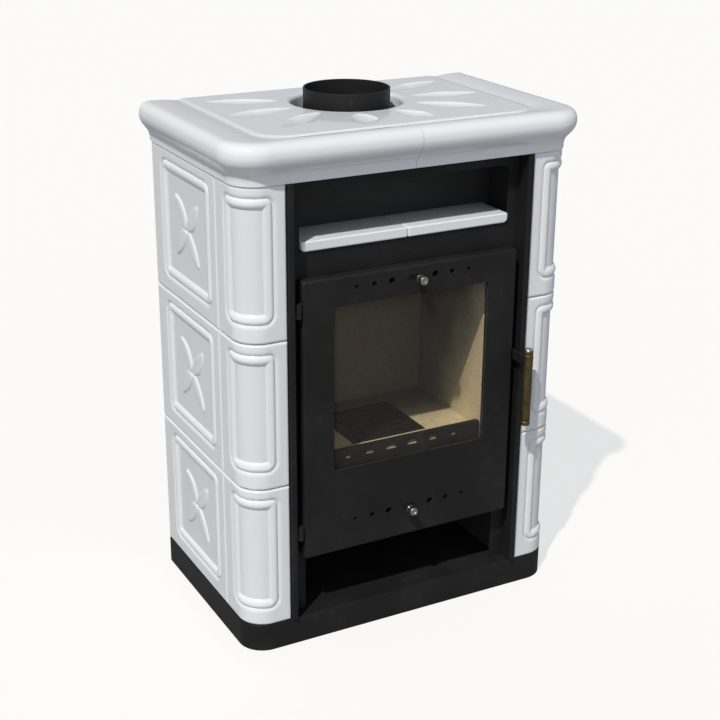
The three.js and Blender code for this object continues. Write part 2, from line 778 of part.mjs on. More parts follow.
function buildLinings() {
  const z0 = hearthPlateTop + fit;
  const y0 = shellFrontY + guardThickness + fit;
  const backY = chamberBackY;
  addPair('lining', block(-chamberHalf - liningThickness, -chamberHalf, y0, backY - fit, z0, chamberTop), fireBoard);
  const backHalf = chamberHalf + liningThickness;
  addPart('lining_back', block(-backHalf, backHalf, backY, backY + liningThickness, z0, chamberTop),
    fireBoard);
  const half = chamberHalf - fit;
  const grateY = panelY + grateSetback;
  const hole = block(-grateWidth / 2 - fit, grateWidth / 2 + fit, grateY - fit, grateY + grateDepth + fit,
    z0 - cut, chamberFloor + cut);
  addPart('lining_floor', carve([block(-half, half, y0, backY - fit, z0, chamberFloor)], [hole]), fireBoard);
  const baffleHalf = chamberHalf + liningThickness - baffleSlack;
  addPart('baffle', block(-baffleHalf, baffleHalf, backY - baffleDepth, backY + liningThickness - fit,
    chamberTop + fit, chamberTop + fit + baffleThickness), fireBoard);
}

// Cast grate: a slotted plate on a skirt that stands on the hearth plate.
function buildGrate() {
  const half = grateWidth / 2;
  const y0 = panelY + grateSetback;
  const y1 = y0 + grateDepth;
  const z0 = hearthPlateTop + fit;
  const body = block(-half, half, y0, y1, z0, chamberFloor);
  const rim = grateLedge;
  const under = block(-half + rim, half - rim, y0 + rim, y1 - rim, z0 - cut, chamberFloor - grateThickness);
  const pitch = (grateDepth - 2 * rim) / grateSlots;
  const slots = [];
  for (let k = 0; k < grateSlots; k += 1) {
    const y = y0 + rim + (k + 0.5) * pitch;
    slots.push(block(-half + rim, half - rim, y - grateSlotWidth / 2, y + grateSlotWidth / 2,
      chamberFloor - grateThickness - 1, chamberFloor + cut));
  }
  addPart('grate', carve([body], [under, ...slots]), castIron);
}

// Log guard behind the glass, a folded strip with half-moon air holes.
function buildLogGuard() {
  const half = chamberHalf - 2;
  const z0 = hearthPlateTop + fit;
  const z1 = chamberFloor + guardHeight;
  const y0 = shellFrontY;
  const y1 = y0 + guardThickness;
  const strip = sweepAcross(polygon([
    [y0, z0],
    [y1, z0],
    [y1, z1 - guardThickness],
    [y1 + guardLip, z1 - guardThickness],
    [y1 + guardLip, z1],
    [y0, z1],
  ]), -half, half);
  const holes = guardHoleRadii.flatMap((radius, k) => [-1, 1].map((side) => {
    const x = side * (k + 0.5) * guardHolePitch;
    const moon = new THREE.Shape();
    moon.absarc(x, chamberFloor - guardHoleDrop, radius, 0, Math.PI);
    return sweepBack(moon, y0 - cut, y1 + 1, 4);
  }));
  addPart('log_guard', carve([strip], holes), castIron);
}

function buildAshPan() {
  const half = chamberHalf - ashPanSideGap;
  const z0 = shellBottom + plate + fit;
  const y0 = shellFrontY + 2 * guardThickness;
  const outer = block(-half, half, y0, y0 + ashPanDepth, z0, z0 + ashPanHeight);
  const inner = block(-half + sheet, half - sheet, y0 + sheet, y0 + ashPanDepth - sheet,
    z0 + sheet, z0 + ashPanHeight + cut);
  const pull = block(-half / 3, half / 3, y0 - 2 * sheet, y0 + 1,
    z0 + ashPanHeight - sheet, z0 + ashPanHeight);
  addPart('ash_pan', carve([outer, pull], [inner]), blackSteel);
}

function buildFlueCollar() {
  const radius = flueDiameter / 2;
  const z0 = shellTop + fit;
  const rim = tilesTop + flueHeight;
  const collar = turned([
    [radius - flueWall, z0],
    [flueFlangeRadius, z0],
    [flueFlangeRadius, z0 + plate],
    [radius, z0 + plate],
    [radius, rim - flueLip],
    [radius - flueLip, rim],
    [radius - flueWall, rim],
    [radius - flueWall, z0],
  ], facets);
  addPart('flue_collar', carve([collar.translate(0, flueY, 0)]), blackSteel);
}

function airHoles(rowZ, y0, y1) {
  return airHoleSizes.flatMap((size, k) => [-1, 1].map((side) => (
    rodBack(side * (airHoleStart + k * airHoleStep), rowZ, y0, y1, size / 2, 10)
  )));
}

function airSlot(rowZ, y0, y1, width) {
  return sweepBack(roundedRect(-width / 2, width / 2, rowZ - airSlotHeight / 2, rowZ + airSlotHeight / 2,
    airSlotHeight / 2 - 0.1), y0, y1, 3);
}

// The door is a folded pan: rounded front edges, flanges all round, window and air holes.
function buildDoorPan() {
  const rings = [
    [0, doorDepth],
    [0, doorRounding],
    [doorRounding * 0.3, doorRounding * 0.3],
    [doorRounding, 0],
  ].map(([inset, depth]) => outlineRing({
    u0: -doorHalf + inset,
    u1: doorHalf - inset,
    v0: doorBottom + inset,
    v1: doorTop - inset,
    radius: doorRounding + 1 - inset * 0.5,
  }).map(([x, z]) => new THREE.Vector3(x, doorY + depth, z)));
  const hollow = sweepBack(roundedRect(-doorHalf + sheet, doorHalf - sheet, doorBottom + sheet,
    doorTop - sheet, doorRounding), doorPlateBack, doorY + doorDepth + cut, 2);
  const [y0, y1] = [doorY - cut, doorPlateBack + cut];
  const window = sweepBack(
    roundedRect(-windowHalf, windowHalf, windowBottom, windowTop, windowRounding), y0, y1);
  const shaftHole = rodAcross(doorY + latchShaftSetback, doorTop - latchInset, doorHalf - 2 * sheet,
    doorHalf + cut, latchShaftRadius + latchShaftSlack, 16);
  const rows = [upperRowZ, lowerRowZ].flatMap((z) => [
    ...airHoles(z, y0, y1),
    airSlot(z, y0, y1, airSlotWidth),
  ]);
  addPart('door_pan', carve([loftRings(rings)], [hollow, window, shaftHole, ...rows]), blackSteel);
}

// Glass with its tape gasket in front and a steel retainer behind.
function buildGlazing() {
  const lap = glassLap;
  const [x1, z0, z1] = [windowHalf + lap, windowBottom - lap, windowTop + lap];
  const gasketY = doorPlateBack + fit;
  const glassY = gasketY + gasketThickness + fit;
  const retainerY = glassY + glassThickness + fit;
  const gasket = frameShape(-x1, x1, z0, z1, windowRounding, lap - 1);
  addPart('glass_gasket', sweepBack(gasket, gasketY, gasketY + gasketThickness), fibreRope);
  const pane = roundedRect(-x1, x1, z0, z1, windowRounding);
  addPart('window_glass', sweepBack(pane, glassY, glassY + glassThickness, 2), stoveGlass);
  const grow = retainerWidth - lap + retainerPast;
  const retainer = frameShape(-x1 - grow, x1 + grow, z0 - grow, z1 + grow, windowRounding, retainerWidth);
  addPart('glass_retainer', sweepBack(retainer, retainerY, retainerY + retainerThickness), blackSteel);
}

// Rope seal in its channel, pressed against the front panel.
function buildDoorSeal() {
  const ropeRadius = ropeDiameter / 2;
  const half = doorHalf - ropeInset;
  const [bottom, top] = [doorBottom + ropeEndInset, doorTop - ropeEndInset];
  const ropeY = panelY - fit - ropeRadius;
  const inside = ropeRadius + ropeSlack;
  const wide = inside + channelSheet;
  const channelY = ropeY - ropeRadius - fit - channelSheet;
  const band = (width, y0, y1) => sweepBack(frameShape(
    -half - width, half + width, bottom - width, top + width, ropeCorner + width, 2 * width), y0, y1);
  const bars = [-1, 1].map((side) => block(side * half - wide + 1, side * half + wide - 1,
    doorPlateBack + fit, channelY + 1, bottom + 2 * ropeCorner, top - 2 * ropeCorner));
  addPart('seal_channel', carve([band(wide, channelY, channelY + channelDepth), ...bars],
    [band(inside, channelY + channelSheet, channelY + channelDepth + cut)]), blackSteel);
  const sides = 6;
  const rings = Array.from({ length: sides }, (_, k) => {
    const angle = (k + 0.5) * (2 * Math.PI / sides);
    const out = ropeRadius * Math.cos(angle);
    const y = ropeY + ropeRadius * Math.sin(angle);
    return outlineRing({
      u0: -half - out, u1: half + out, v0: bottom - out, v1: top + out, radius: ropeCorner + out,
    }).map(([x, z]) => new THREE.Vector3(x, y, z));
  });
  addPart('door_rope', loopSkin(rings), fibreRope);
}

// Skins rings that follow one another round a closed tube.
function loopSkin(rings) {
  const count = rings[0].length;
  const position = new Float32Array(rings.flat().flatMap((p) => [p.x, p.y, p.z]));
  const index = [];
  for (let r = 0; r < rings.length; r += 1) {
    const above = (r + 1) % rings.length;
    for (let i = 0; i < count; i += 1) {
      const next = (i + 1) % count;
      index.push(r * count + i, r * count + next, above * count + next);
      index.push(r * count + i, above * count + next, above * count + i);
    }
  }
  const geometry = new THREE.BufferGeometry();
  geometry.setAttribute('position', new THREE.BufferAttribute(position, 3));
  geometry.setIndex(index);
  return faceOutward(geometry);
}

// One air control: a perforated plate in its guide behind the door, moved by a turned knob.
function buildAirControl(name, rowZ, side) {
  const y0 = doorPlateBack + fit;
  const y1 = y0 + airPlateThickness;
  const half = airPlateHalf;
  const body = block(-half, half, y0, y1, rowZ - airPlateHeight / 2, rowZ + airPlateHeight / 2);
  addPart(`${name}_air_plate`, carve([body], airHoles(rowZ, y0 - cut, y1 + cut)), blackSteel);
  const room = airPlateHeight / 2 + fit;
  const reach = half + airTravel + fit;
  const guide = block(-reach - airGuideLip, reach + airGuideLip, y0, y1 + fit + airGuideSheet,
    rowZ - room - airGuideLip, rowZ + room + airGuideLip);
  const pocket = block(-reach, reach, y0 - cut, y1 + fit, rowZ - room, rowZ + room);
  const view = block(-reach, reach, y0, y1 + 2 * cut, rowZ - room + airGuideLip, rowZ + room - airGuideLip);
  addPart(`${name}_air_guide`, carve([guide], [pocket, view]), blackSteel);
  const stemEnd = knobStemLength + doorProud;
  const head = stemEnd + knobLength;
  const knob = turned([
    [0, 0],
    [knobStemRadius, 0],
    [knobStemRadius, stemEnd],
    [knobRadius - knobEdge, stemEnd],
    [knobRadius, stemEnd + knobEdge],
    [knobRadius, head - knobEdge],
    [knobRadius - knobEdge, head],
    [knobRadius * 0.55, head],
    [knobRadius * 0.45, head - knobEdge],
    [0, head - knobEdge],
  ], 14);
  knob.rotateX(Math.PI / 2);
  addPart(`${name}_air_knob`, carve([knob.translate(side * airKnobOffset, y0 - fit, rowZ)]), bareSteel);
}

// A hinge: a pin bracket on the cheek below, a bored leaf on the door above it.
function buildHinge(name, middleZ) {
  const axisX = -doorHalf - hingeAxisGap;
  const axisY = doorY + hingeSetback;
  const leafEnd = doorY + doorDepth - hingeWingInset;
  const bracketTop = middleZ - fit / 2;
  const low = middleZ - hingeHalfHeight;
  const high = middleZ + hingeHalfHeight;
  const post = rodUp(axisX, axisY, low, bracketTop, hingeRadius, 16);
  const foot = block(-cheekInner + fit, axisX, axisY, leafEnd, low, bracketTop);
  const footCut = block(-cheekInner + fit + sheet, axisX + cut, axisY + hingeRadius, leafEnd + cut,
    low - cut, bracketTop + cut);
  const pin = rodUp(axisX, axisY, low, high, hingePinRadius, 12);
  addPart(`${name}_hinge_bracket`, carve([carve([foot], [footCut]), post, pin]), blackSteel);
  const knuckle = rodUp(axisX, axisY, middleZ + fit / 2, high, hingeRadius, 16);
  const wing = block(-doorHalf - fit - sheet, -doorHalf - fit, axisY, leafEnd, middleZ + fit / 2, high);
  const neck = block(axisX, -doorHalf - fit, axisY, axisY + sheet, middleZ + fit / 2, high);
  const bore = rodUp(axisX, axisY, middleZ - cut, high + cut, hingePinRadius + hingePinSlack, 12);
  addPart(`${name}_hinge_leaf`, carve([knuckle, wing, neck], [bore]), blackSteel);
}

// Latch: a shaft through the door's side flange, hook inside, lever and brass grip outside.
function buildLatch() {
  const y = doorY + latchShaftSetback;
  const z = doorTop - latchInset;
  const bore = latchShaftRadius + latchShaftSlack;
  const channelOuter = doorHalf - ropeInset + ropeDiameter / 2 + ropeSlack + channelSheet;
  const hookX = channelOuter + hookGap;
  const leverX = doorHalf + leverGap;
  const shaftStart = channelOuter + latchShaftEnd;
  const shaftEnd = leverX + leverThickness + latchShaftEnd;
  const shaft = rodAcross(y, z, shaftStart, shaftEnd, latchShaftRadius, 16);
  const pinY = panelY - catchPinSetback;
  const pinZ = z + catchPinRise;
  const noseTop = pinZ - catchPinRadius - catchClearance;
  const noseEnd = panelY - hookNoseGap;
  const armBottom = z - hookDrop;
  const armTop = armBottom + hookBar;
  const arm = polygon([
    [y, armBottom],
    [noseEnd - 1, armBottom],
    [noseEnd, armBottom + 2],
    [noseEnd, noseTop],
    [noseEnd - 3, noseTop],
    [noseEnd - 4, armTop],
    [y, armTop],
  ]);
  const boss = rodAcross(y, z, hookX, hookX + hookThickness, latchShaftRadius + latchShaftEnd, 16);
  addPart('latch_hook', carve([sweepAcross(arm, hookX, hookX + hookThickness), boss, shaft]), blackSteel);

  const earX = doorHalf - sheet - catchGap;
  const ear = block(earX - catchThickness, earX, pinY - catchThickness, panelY - fit,
    pinZ - hookDrop, pinZ + hookDrop);
  const catchPin = rodAcross(pinY, pinZ, hookX, earX - catchThickness / 2, catchPinRadius, 12);
  addPart('latch_catch', carve([ear, catchPin]), blackSteel);

  const gripX = doorHalf + gripAxisOffset;
  const gripY = doorY - gripProud;
  const gripTop = z + gripTopRise;
  const gripBottom = gripTop - gripLength;
  const half = leverHeight / 2;
  const eye = rodAcross(y, z, leverX, leverX + leverThickness, half, 16);
  const barBottom = z - half + 1;
  const bar = block(leverX, leverX + leverThickness, gripY - leverBarHalf, y, barBottom, z + half);
  const stub = block(leverX, gripX, gripY - leverBarHalf, gripY + leverBarHalf,
    z - leverStubHalf, z + leverStubHalf);
  const core = rodUp(gripX, gripY, gripBottom + gripRadius, gripTop, gripBore - coreSlack, 12);
  const leverBore = rodAcross(y, z, leverX - cut, leverX + leverThickness + cut, bore, 16);
  const leverHole = rodAcross((y + gripY) / 2 - 2, z, leverX - cut, leverX + leverThickness + cut,
    leverHoleRadius, 12);
  addPart('latch_lever', carve([eye, bar, stub, core], [leverBore, leverHole]), blackSteel);

  const r = gripRadius;
  const grip = turned([
    [gripBore, gripBottom],
    [r - 1.5, gripBottom],
    [r, gripBottom + 1.5],
    [r, gripBottom + 8],
    [r - 1, gripBottom + 9],
    [r - 1, gripBottom + 10.5],
    [r, gripBottom + 11.5],
    [r, gripTop - 6],
    [r - 1, gripTop - 5],
    [r - 1, gripTop - 3.5],
    [r, gripTop - 2.5],
    [r, gripTop],
    [gripBore, gripTop],
    [gripBore, gripBottom],
  ], 14).translate(gripX, gripY, 0);
  const slotY = leverBarHalf + fit;
  const slotZ = leverStubHalf + fit;
  const slot = block(leverX - cut, gripX, gripY - slotY, gripY + slotY, z - slotZ, z + slotZ);
  const seat = block(leverX - cut, leverX + leverThickness + fit, gripY - r - cut, gripY + r + cut,
    barBottom - fit, z + half + fit);
  addPart('brass_grip', carve([grip], [slot, seat]), agedBrass);
  const cap = turned([
    [0, gripTop + fit],
    [r - 0.5, gripTop + fit],
    [r - 0.5, gripTop + fit + gripCapHeight - 1],
    [r - 1.5, gripTop + fit + gripCapHeight],
    [0, gripTop + fit + gripCapHeight],
  ], 16).translate(gripX, gripY, 0);
  addPart('grip_cap', carve([cap]), bareSteel);
}

buildPlinth();
buildTiles();
buildTopSlab();
buildShelf();
buildFrontPanel();
buildCheeks();
buildRails();
buildRearShield();
buildJacket();
buildNicheLiner();
buildFirebox();
buildLinings();
buildGrate();
buildLogGuard();
buildAshPan();
buildFlueCollar();
buildDoorPan();
buildGlazing();
buildDoorSeal();
buildAirControl('upper', upperRowZ, 1);
buildAirControl('lower', lowerRowZ, -1);
buildHinge('upper', doorTop - hingeEndInset);
buildHinge('lower', doorBottom + hingeLowInset);
buildLatch();

export default stove;
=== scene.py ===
# Looks of the tiled stove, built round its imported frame.
# Shapes are worked out in millimetres in the frame's own axes: +Z up, the front towards -Y.
import bmesh
import bpy
import numpy as np
from math import cos, pi, radians, sin
from mathutils import Matrix, Vector
from mathutils.geometry import tessellate_polygon


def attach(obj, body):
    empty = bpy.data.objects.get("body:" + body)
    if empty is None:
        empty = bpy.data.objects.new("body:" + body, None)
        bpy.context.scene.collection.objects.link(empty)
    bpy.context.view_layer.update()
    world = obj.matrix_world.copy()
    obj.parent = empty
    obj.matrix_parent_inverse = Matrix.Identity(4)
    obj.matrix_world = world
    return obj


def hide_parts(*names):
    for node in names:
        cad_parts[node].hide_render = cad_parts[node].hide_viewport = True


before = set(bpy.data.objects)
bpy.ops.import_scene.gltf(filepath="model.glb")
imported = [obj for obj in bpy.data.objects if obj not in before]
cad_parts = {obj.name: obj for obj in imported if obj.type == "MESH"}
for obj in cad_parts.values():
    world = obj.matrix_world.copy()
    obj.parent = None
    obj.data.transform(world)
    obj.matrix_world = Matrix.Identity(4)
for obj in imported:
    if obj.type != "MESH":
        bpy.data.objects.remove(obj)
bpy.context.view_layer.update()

print("stage 1: frame loaded with", len(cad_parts), "nodes")


# ---- camera ----
view = {"lens": 71.17, "sensor": 36, "near": 0.05, "azimuth": -28.2504, "elevation": 21.404,
        "roll": 0.3977, "place": (-1.1309, -2.1091, 1.3613)}


def makeCamera():
    # the camera's axes: right lies level, back points at the viewer, then both turn by the roll
    az, el, roll = (radians(view[key]) for key in ("azimuth", "elevation", "roll"))
    right = Vector((cos(az), sin(az), 0))
    back = Vector((sin(az) * cos(el), -cos(az) * cos(el), sin(el)))
    up = back.cross(right)
    rolledRight = right * cos(roll) + up * sin(roll)
    rolledUp = up * cos(roll) - right * sin(roll)
    camera = bpy.data.objects.new("camera", bpy.data.cameras.new("camera"))
    camera.data.lens = view["lens"]
    camera.data.sensor_width = view["sensor"]
    camera.data.clip_start = view["near"]
    turn = Matrix((rolledRight, rolledUp, back)).transposed()
    camera.matrix_world = Matrix.Translation(view["place"]) @ turn.to_4x4()
    bpy.context.scene.collection.objects.link(camera)
    bpy.context.scene.camera = camera


makeCamera()


# ---- mesh helpers ----
meshRules = {"metres": 0.001, "merge": 3e-6, "thinnest": 1e-6}


def gridFaces(rows, columns, closed=False):
    # corners of every cell of a grid of points held row by row; a closed grid joins its last column
    # to its first
    r = np.arange(rows - 1)[:, None]
    c = np.arange(columns if closed else columns - 1)[None, :]
    following = (c + 1) % columns
    corners = (r * columns + c, r * columns + following,
               (r + 1) * columns + following, (r + 1) * columns + c)
    return np.stack(np.broadcast_arrays(*corners), -1).reshape(-1, 4)


def addPiece(name, points, faces, body, finish, replaced, sharp=38, relief=None):
    # one object from points in millimetres: doubles are merged, the faces turned outwards, and
    # relief keeps each point's height over the plain face for the glaze
    mesh = bpy.data.meshes.new(name)
    corners = [tuple(int(i) for i in face) for block in faces for face in block]
    mesh.from_pydata(np.asarray(points, float).reshape(-1, 3) * meshRules["metres"], [], corners)
    if relief is not None:
        layer = mesh.attributes.new("relief", "FLOAT", "POINT")
        layer.data.foreach_set("value", np.asarray(relief, np.float32).ravel())
    work = bmesh.new()
    work.from_mesh(mesh)
    bmesh.ops.remove_doubles(work, verts=work.verts, dist=meshRules["merge"])
    bmesh.ops.dissolve_degenerate(work, edges=work.edges, dist=meshRules["thinnest"])
    bmesh.ops.recalc_face_normals(work, faces=work.faces)
    work.to_mesh(mesh)
    work.free()
    mesh.shade_smooth()
    mesh.set_sharp_from_angle(angle=radians(sharp))
    mesh.materials.append(finish)
    piece = bpy.data.objects.new(name, mesh)
    bpy.context.scene.collection.objects.link(piece)
    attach(piece, body)
    if replaced:
        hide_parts(*replaced)


def filleted(corners, radius, steps):
    # a line of points whose inner corners become parabolas; each starts and ends at the radius
    # from its corner, or at 0.45 of a side that is shorter
    corners = np.asarray(corners, float)
    middle = corners[1:-1]

    def towards(neighbour):
        way = neighbour - middle
        length = np.linalg.norm(way, axis=1, keepdims=True)
        return (middle + way / length * np.minimum(radius, 0.45 * length))[:, None]

    t = np.linspace(0, 1, steps + 1)[None, :, None]
    bend = (1 - t) ** 2 * towards(corners[:-2]) + 2 * t * (1 - t) * middle[:, None]
    bend = bend + t ** 2 * towards(corners[2:])
    return np.vstack([corners[:1], bend.reshape(-1, corners.shape[1]), corners[-1:]])


def smoothLine(points, steps):
    # Catmull-Rom: each span is the cubic through its ends with slopes from its neighbours
    p = np.asarray(points, float)
    padded = np.vstack([2 * p[0] - p[1], p, 2 * p[-1] - p[-2]])
    before, start, end, after = padded[:-3], padded[1:-2], padded[2:-1], padded[3:]
    t = np.linspace(0, 1, steps, endpoint=False)[None, :, None]
    a, b, c, d = (q[:, None] for q in (before, start, end, after))
    curve = 0.5 * (2 * b + (c - a) * t + (2 * a - 5 * b + 4 * c - d) * t ** 2
                   + (3 * b - a - 3 * c + d) * t ** 3)
    return np.vstack([curve.reshape(-1, p.shape[1]), p[-1:]])


def outline(a0, a1, b0, b1, radii, steps=8):
    # a rounded rectangle and its outward normals; the radii go round from the low corner
    radii = np.broadcast_to(np.asarray(radii, float), 4)[:, None]
    centre = np.array([[a0, b0], [a1, b0], [a1, b1], [a0, b1]], float)
    inward = np.array([[1, 1], [-1, 1], [-1, -1], [1, -1]])
    turn = np.linspace(0, pi / 2, steps + 1)[None, :] + (np.arange(4)[:, None] + 2) * pi / 2
    normal = np.stack([np.cos(turn), np.sin(turn)], -1)
    points = (centre + inward * radii)[:, None] + normal * radii[:, None]
    return points.reshape(-1, 2), normal.reshape(-1, 2)


def circle(a, b, radius, sides, part=1.0):
    # a circle, or the upper part of one with a flat foot
    turn = np.linspace(0, 2 * pi * part, sides, endpoint=part < 1)
    normal = np.stack([np.cos(turn), np.sin(turn)], -1)
    return np.array([a, b]) + radius * normal, normal


def place(flat, depth, axis):
    # puts points of a drawing plane at their depth along the named axis
    first, second = flat[..., 0], flat[..., 1]
    order = {"x": (depth, first, second), "y": (first, depth, second), "z": (first, second, depth)}
    return np.stack(np.broadcast_arrays(*order[axis]), -1)


def ringStack(line, normals, profile, axis):
    # carries a profile of (inset, depth) round an outline
    profile = np.asarray(profile, float)
    flat = line[None] - normals[None] * profile[:, :1, None]
    return place(flat, profile[:, 1:], axis)


def roundEdge(rounding, steps=4, support=0.5):
    # the profile of an edge rounded as a quarter circle, with a narrow flat band inside it
    turn = np.linspace(0, pi / 2, steps + 1)
    arc = np.stack([rounding * (1 - np.sin(turn)), rounding * (1 - np.cos(turn))], -1)
    return np.vstack([[rounding + support, 0], arc])


def capLoops(points, loops):
    # fills a flat face between its outer loop and its holes
    flat = [[Vector(p) for p in points[ids]] for ids in loops]
    return np.concatenate(loops)[np.array(tessellate_polygon(flat))]


def plateMesh(loops, low, high, axis):
    # a plate with holes: every loop is (line, normals, rounding), the first the outside;
    # a hole's normals point away from its middle, so its insets count backwards
    points, faces, ends, count = [], [], ([], []), 0
    for number, (line, normals, rounding) in enumerate(loops):
        edge = roundEdge(rounding)
        profile = np.vstack([edge + [0, low], edge[::-1] * [1, -1] + [0, high]])
        if number:
            profile[:, 0] *= -1
        stack = ringStack(line, normals, profile, axis)
        rows, columns = stack.shape[:2]
        points.append(stack.reshape(-1, 3))
        faces.append(gridFaces(rows, columns, closed=True) + count)
        ends[0].append(count + np.arange(columns))
        ends[1].append(count + (rows - 1) * columns + np.arange(columns))
        count += rows * columns
    points = np.concatenate(points)
    return points, faces + [capLoops(points, loopSet) for loopSet in ends]


def lathe(profile, centre, sides, axis="z"):
    # a profile of (radius, height) turned about an axis through the centre
    profile = np.asarray(profile, float)
    turn = np.linspace(0, 2 * pi, sides, endpoint=False)
    ring = np.stack([np.cos(turn), np.sin(turn)], -1)
    points = place(profile[:, :1, None] * ring[None], profile[:, 1:], axis)
    return points + np.asarray(centre, float), [gridFaces(len(profile), sides, closed=True)]


def roundedBox(low, high, radius, steps=4):
    # the points of a ball, an eighth of it pushed into each corner of the box
    low, high = np.asarray(low, float), np.asarray(high, float)
    quarter = np.linspace(0, pi / 2, steps + 1)
    lon = (quarter + np.arange(4)[:, None] * pi / 2).ravel()
    lat = np.concatenate([quarter - pi / 2, quarter])[:, None]
    ball = np.stack(np.broadcast_arrays(
        np.cos(lat) * np.cos(lon), np.cos(lat) * np.sin(lon), np.sin(lat)), -1)
    signs = np.stack(np.broadcast_arrays(
        np.repeat([1, -1, -1, 1], steps + 1)[None], np.repeat([1, 1, -1, -1], steps + 1)[None],
        np.repeat([-1, 1], steps + 1)[:, None]), -1)
    points = (low + high) / 2 + signs * ((high - low) / 2 - radius) + radius * ball
    rows, columns = points.shape[:2]
    corner = np.arange(4) * (steps + 1)
    caps = np.array([corner, (rows - 1) * columns + corner])
    return points.reshape(-1, 3), [gridFaces(rows, columns, closed=True), caps]


def joined(*parts):
    # several closed forms as one mesh
    points, faces, count = [], [], 0
    for partPoints, partFaces in parts:
        partPoints = np.asarray(partPoints, float).reshape(-1, 3)
        faces += [np.asarray(block) + count for block in partFaces]
        points.append(partPoints)
        count += len(partPoints)
    return np.concatenate(points), faces


# ---- material helpers ----
def tone(code):
    # a written colour such as "dfe3e7" in the renderer's linear values
    parts = np.array([int(code[k:k + 2], 16) / 255 for k in (0, 2, 4)])
    linear = np.where(parts <= 0.04045, parts / 12.92, ((parts + 0.055) / 1.055) ** 2.4)
    return (*linear.tolist(), 1.0)


class Wire:
    # one output of a material's nodes; sums and products of wires add Math nodes
    def __init__(self, tree, socket=None):
        self.tree, self.socket = tree, socket

    def node(self, kind, inputs=None, out=0, **settings):
        made = self.tree.nodes.new("ShaderNode" + kind)
        for key, value in settings.items():
            setattr(made, key, value)
        for key, value in (inputs or {}).items():
            if isinstance(value, Wire):
                self.tree.links.new(value.socket, made.inputs[key])
            else:
                made.inputs[key].default_value = value
        return Wire(self.tree, made.outputs[out])

    def math(self, operation, first, second):
        return self.node("Math", {0: first, 1: second}, operation=operation)

    def __add__(self, other):
        return self.math("ADD", self, other)

    def __mul__(self, other):
        return self.math("MULTIPLY", self, other)

    def __sub__(self, other):
        return self.math("SUBTRACT", self, other)

    def __rsub__(self, other):
        return self.math("SUBTRACT", other, self)

    __radd__, __rmul__ = __add__, __mul__

    def step(self, low, high):
        # eases from 0 at low to 1 at high
        return self.node("MapRange", {0: self, 1: low, 2: high}, interpolation_type="SMOOTHSTEP")

    def colours(self, first, second):
        # goes from the first colour at 0 to the second at 1
        return self.node("Mix", {0: self, 6: first, 7: second}, out=2, data_type="RGBA")

    def noise(self, scale, detail, rough=0.55):
        return self.node("TexNoise", {0: self, "Scale": scale, "Detail": detail,
                                      "Roughness": rough})

    def cells(self, scale, out=0):
        return self.node("TexVoronoi", {0: self, "Scale": scale}, out=out)


def newFinish(name, build, **constants):
    # a Principled material: build gets the object coordinates and returns what varies, by socket
    # name; a wire named Height goes through a Bump node of the given reach
    finish = bpy.data.materials.new(name)
    finish.use_nodes = True
    tree = finish.node_tree
    shader = tree.nodes["Principled BSDF"]
    reach = constants.pop("reach", 0.001)
    for key, value in constants.items():
        shader.inputs[key.replace("_", " ")].default_value = value
    coords = Wire(tree).node("TexCoord", out=3)
    for key, value in build(coords).items():
        if key == "Height":
            bump = coords.node("Bump", {"Height": value, "Distance": reach, "Strength": 1.0})
            tree.links.new(bump.socket, shader.inputs["Normal"])
        else:
            tree.links.new(value.socket, shader.inputs[key])
    return finish


# ---- finishes ----
glazeLook = {"body": "e5e8ec", "pooled": "dfe3e6", "worn": "eef0f1", "speck": "8d8a80",
             "pooling": 0.75, "clouding": 0.25, "specks": 0.5, "roughness": 0.1, "dust": 0.1,
             "ripple": 0.16, "pits": 0.03}


def glazeNodes(p):
    # pooled glaze lies darker in the hollows and thins to a lighter line on the crests
    look = glazeLook
    relief = p.node("Attribute", out=2, attribute_name="relief")
    hollow = (0.0 - relief).step(0.2, 3.6)
    cloud = p.noise(7, 3).step(0.3, 0.7)
    shade = hollow * look["pooling"] + cloud * look["clouding"]
    colour = shade.colours(tone(look["body"]), tone(look["pooled"]))
    colour = relief.step(0.0, 0.8).colours(colour, tone(look["worn"]))
    speck = (1 - p.cells(95).step(0.045, 0.075)) * p.noise(31, 2).step(0.62, 0.72)
    colour = (speck * look["specks"]).colours(colour, tone(look["speck"]))
    dust = p.noise(24, 5).step(0.45, 0.75)
    pits = p.cells(420).step(0.05, 0.11)
    waves = p.noise(26, 2) + p.noise(110, 2) * look["ripple"]
    return {"Base Color": colour,
            "Roughness": look["roughness"] + dust * look["dust"] + hollow * 0.05,
            "Height": waves + pits * look["pits"]}


steelLook = {"base": "242425", "fresh": "1d1d1e", "dust": "474745", "dusting": 0.45,
             "specks": 0.35, "roughness": 0.46}


def steelNodes(p):
    # satin stove paint: fine grain, clouds of dust and a few rubbed places
    look = steelLook
    cloud = p.noise(9, 5).step(0.35, 0.75)
    dust = p.noise(60, 6, 0.7).step(0.52, 0.8) * cloud
    specks = (1 - p.cells(260).step(0.06, 0.16)) * p.noise(45, 3).step(0.55, 0.7)
    colour = cloud.colours(tone(look["fresh"]), tone(look["base"]))
    marks = dust * look["dusting"] + specks * look["specks"]
    return {"Base Color": marks.colours(colour, tone(look["dust"])),
            "Roughness": look["roughness"] + cloud * 0.1 + dust * 0.2,
            "Height": p.noise(1500, 2) * 0.6 + p.noise(300, 3) * 0.5}


sheetLook = {"fresh": "262626", "worn": "3c3b3a", "wear": 0.6, "lines": 0.2, "roughness": 0.5,
             "rolling": (40, 40, 900)}


def sheetNodes(p):
    # rolled sheet inside the body: the same paint, thinner, with the rolling lines showing
    look = sheetLook
    lines = p.node("Mapping", {0: p, 3: look["rolling"]}).noise(1.0, 3)
    cloud = p.noise(6, 4).step(0.3, 0.75)
    wear = cloud * look["wear"] + lines * look["lines"]
    return {"Base Color": wear.colours(tone(look["fresh"]), tone(look["worn"])),
            "Roughness": look["roughness"] + cloud * 0.18, "Height": lines * 0.4}


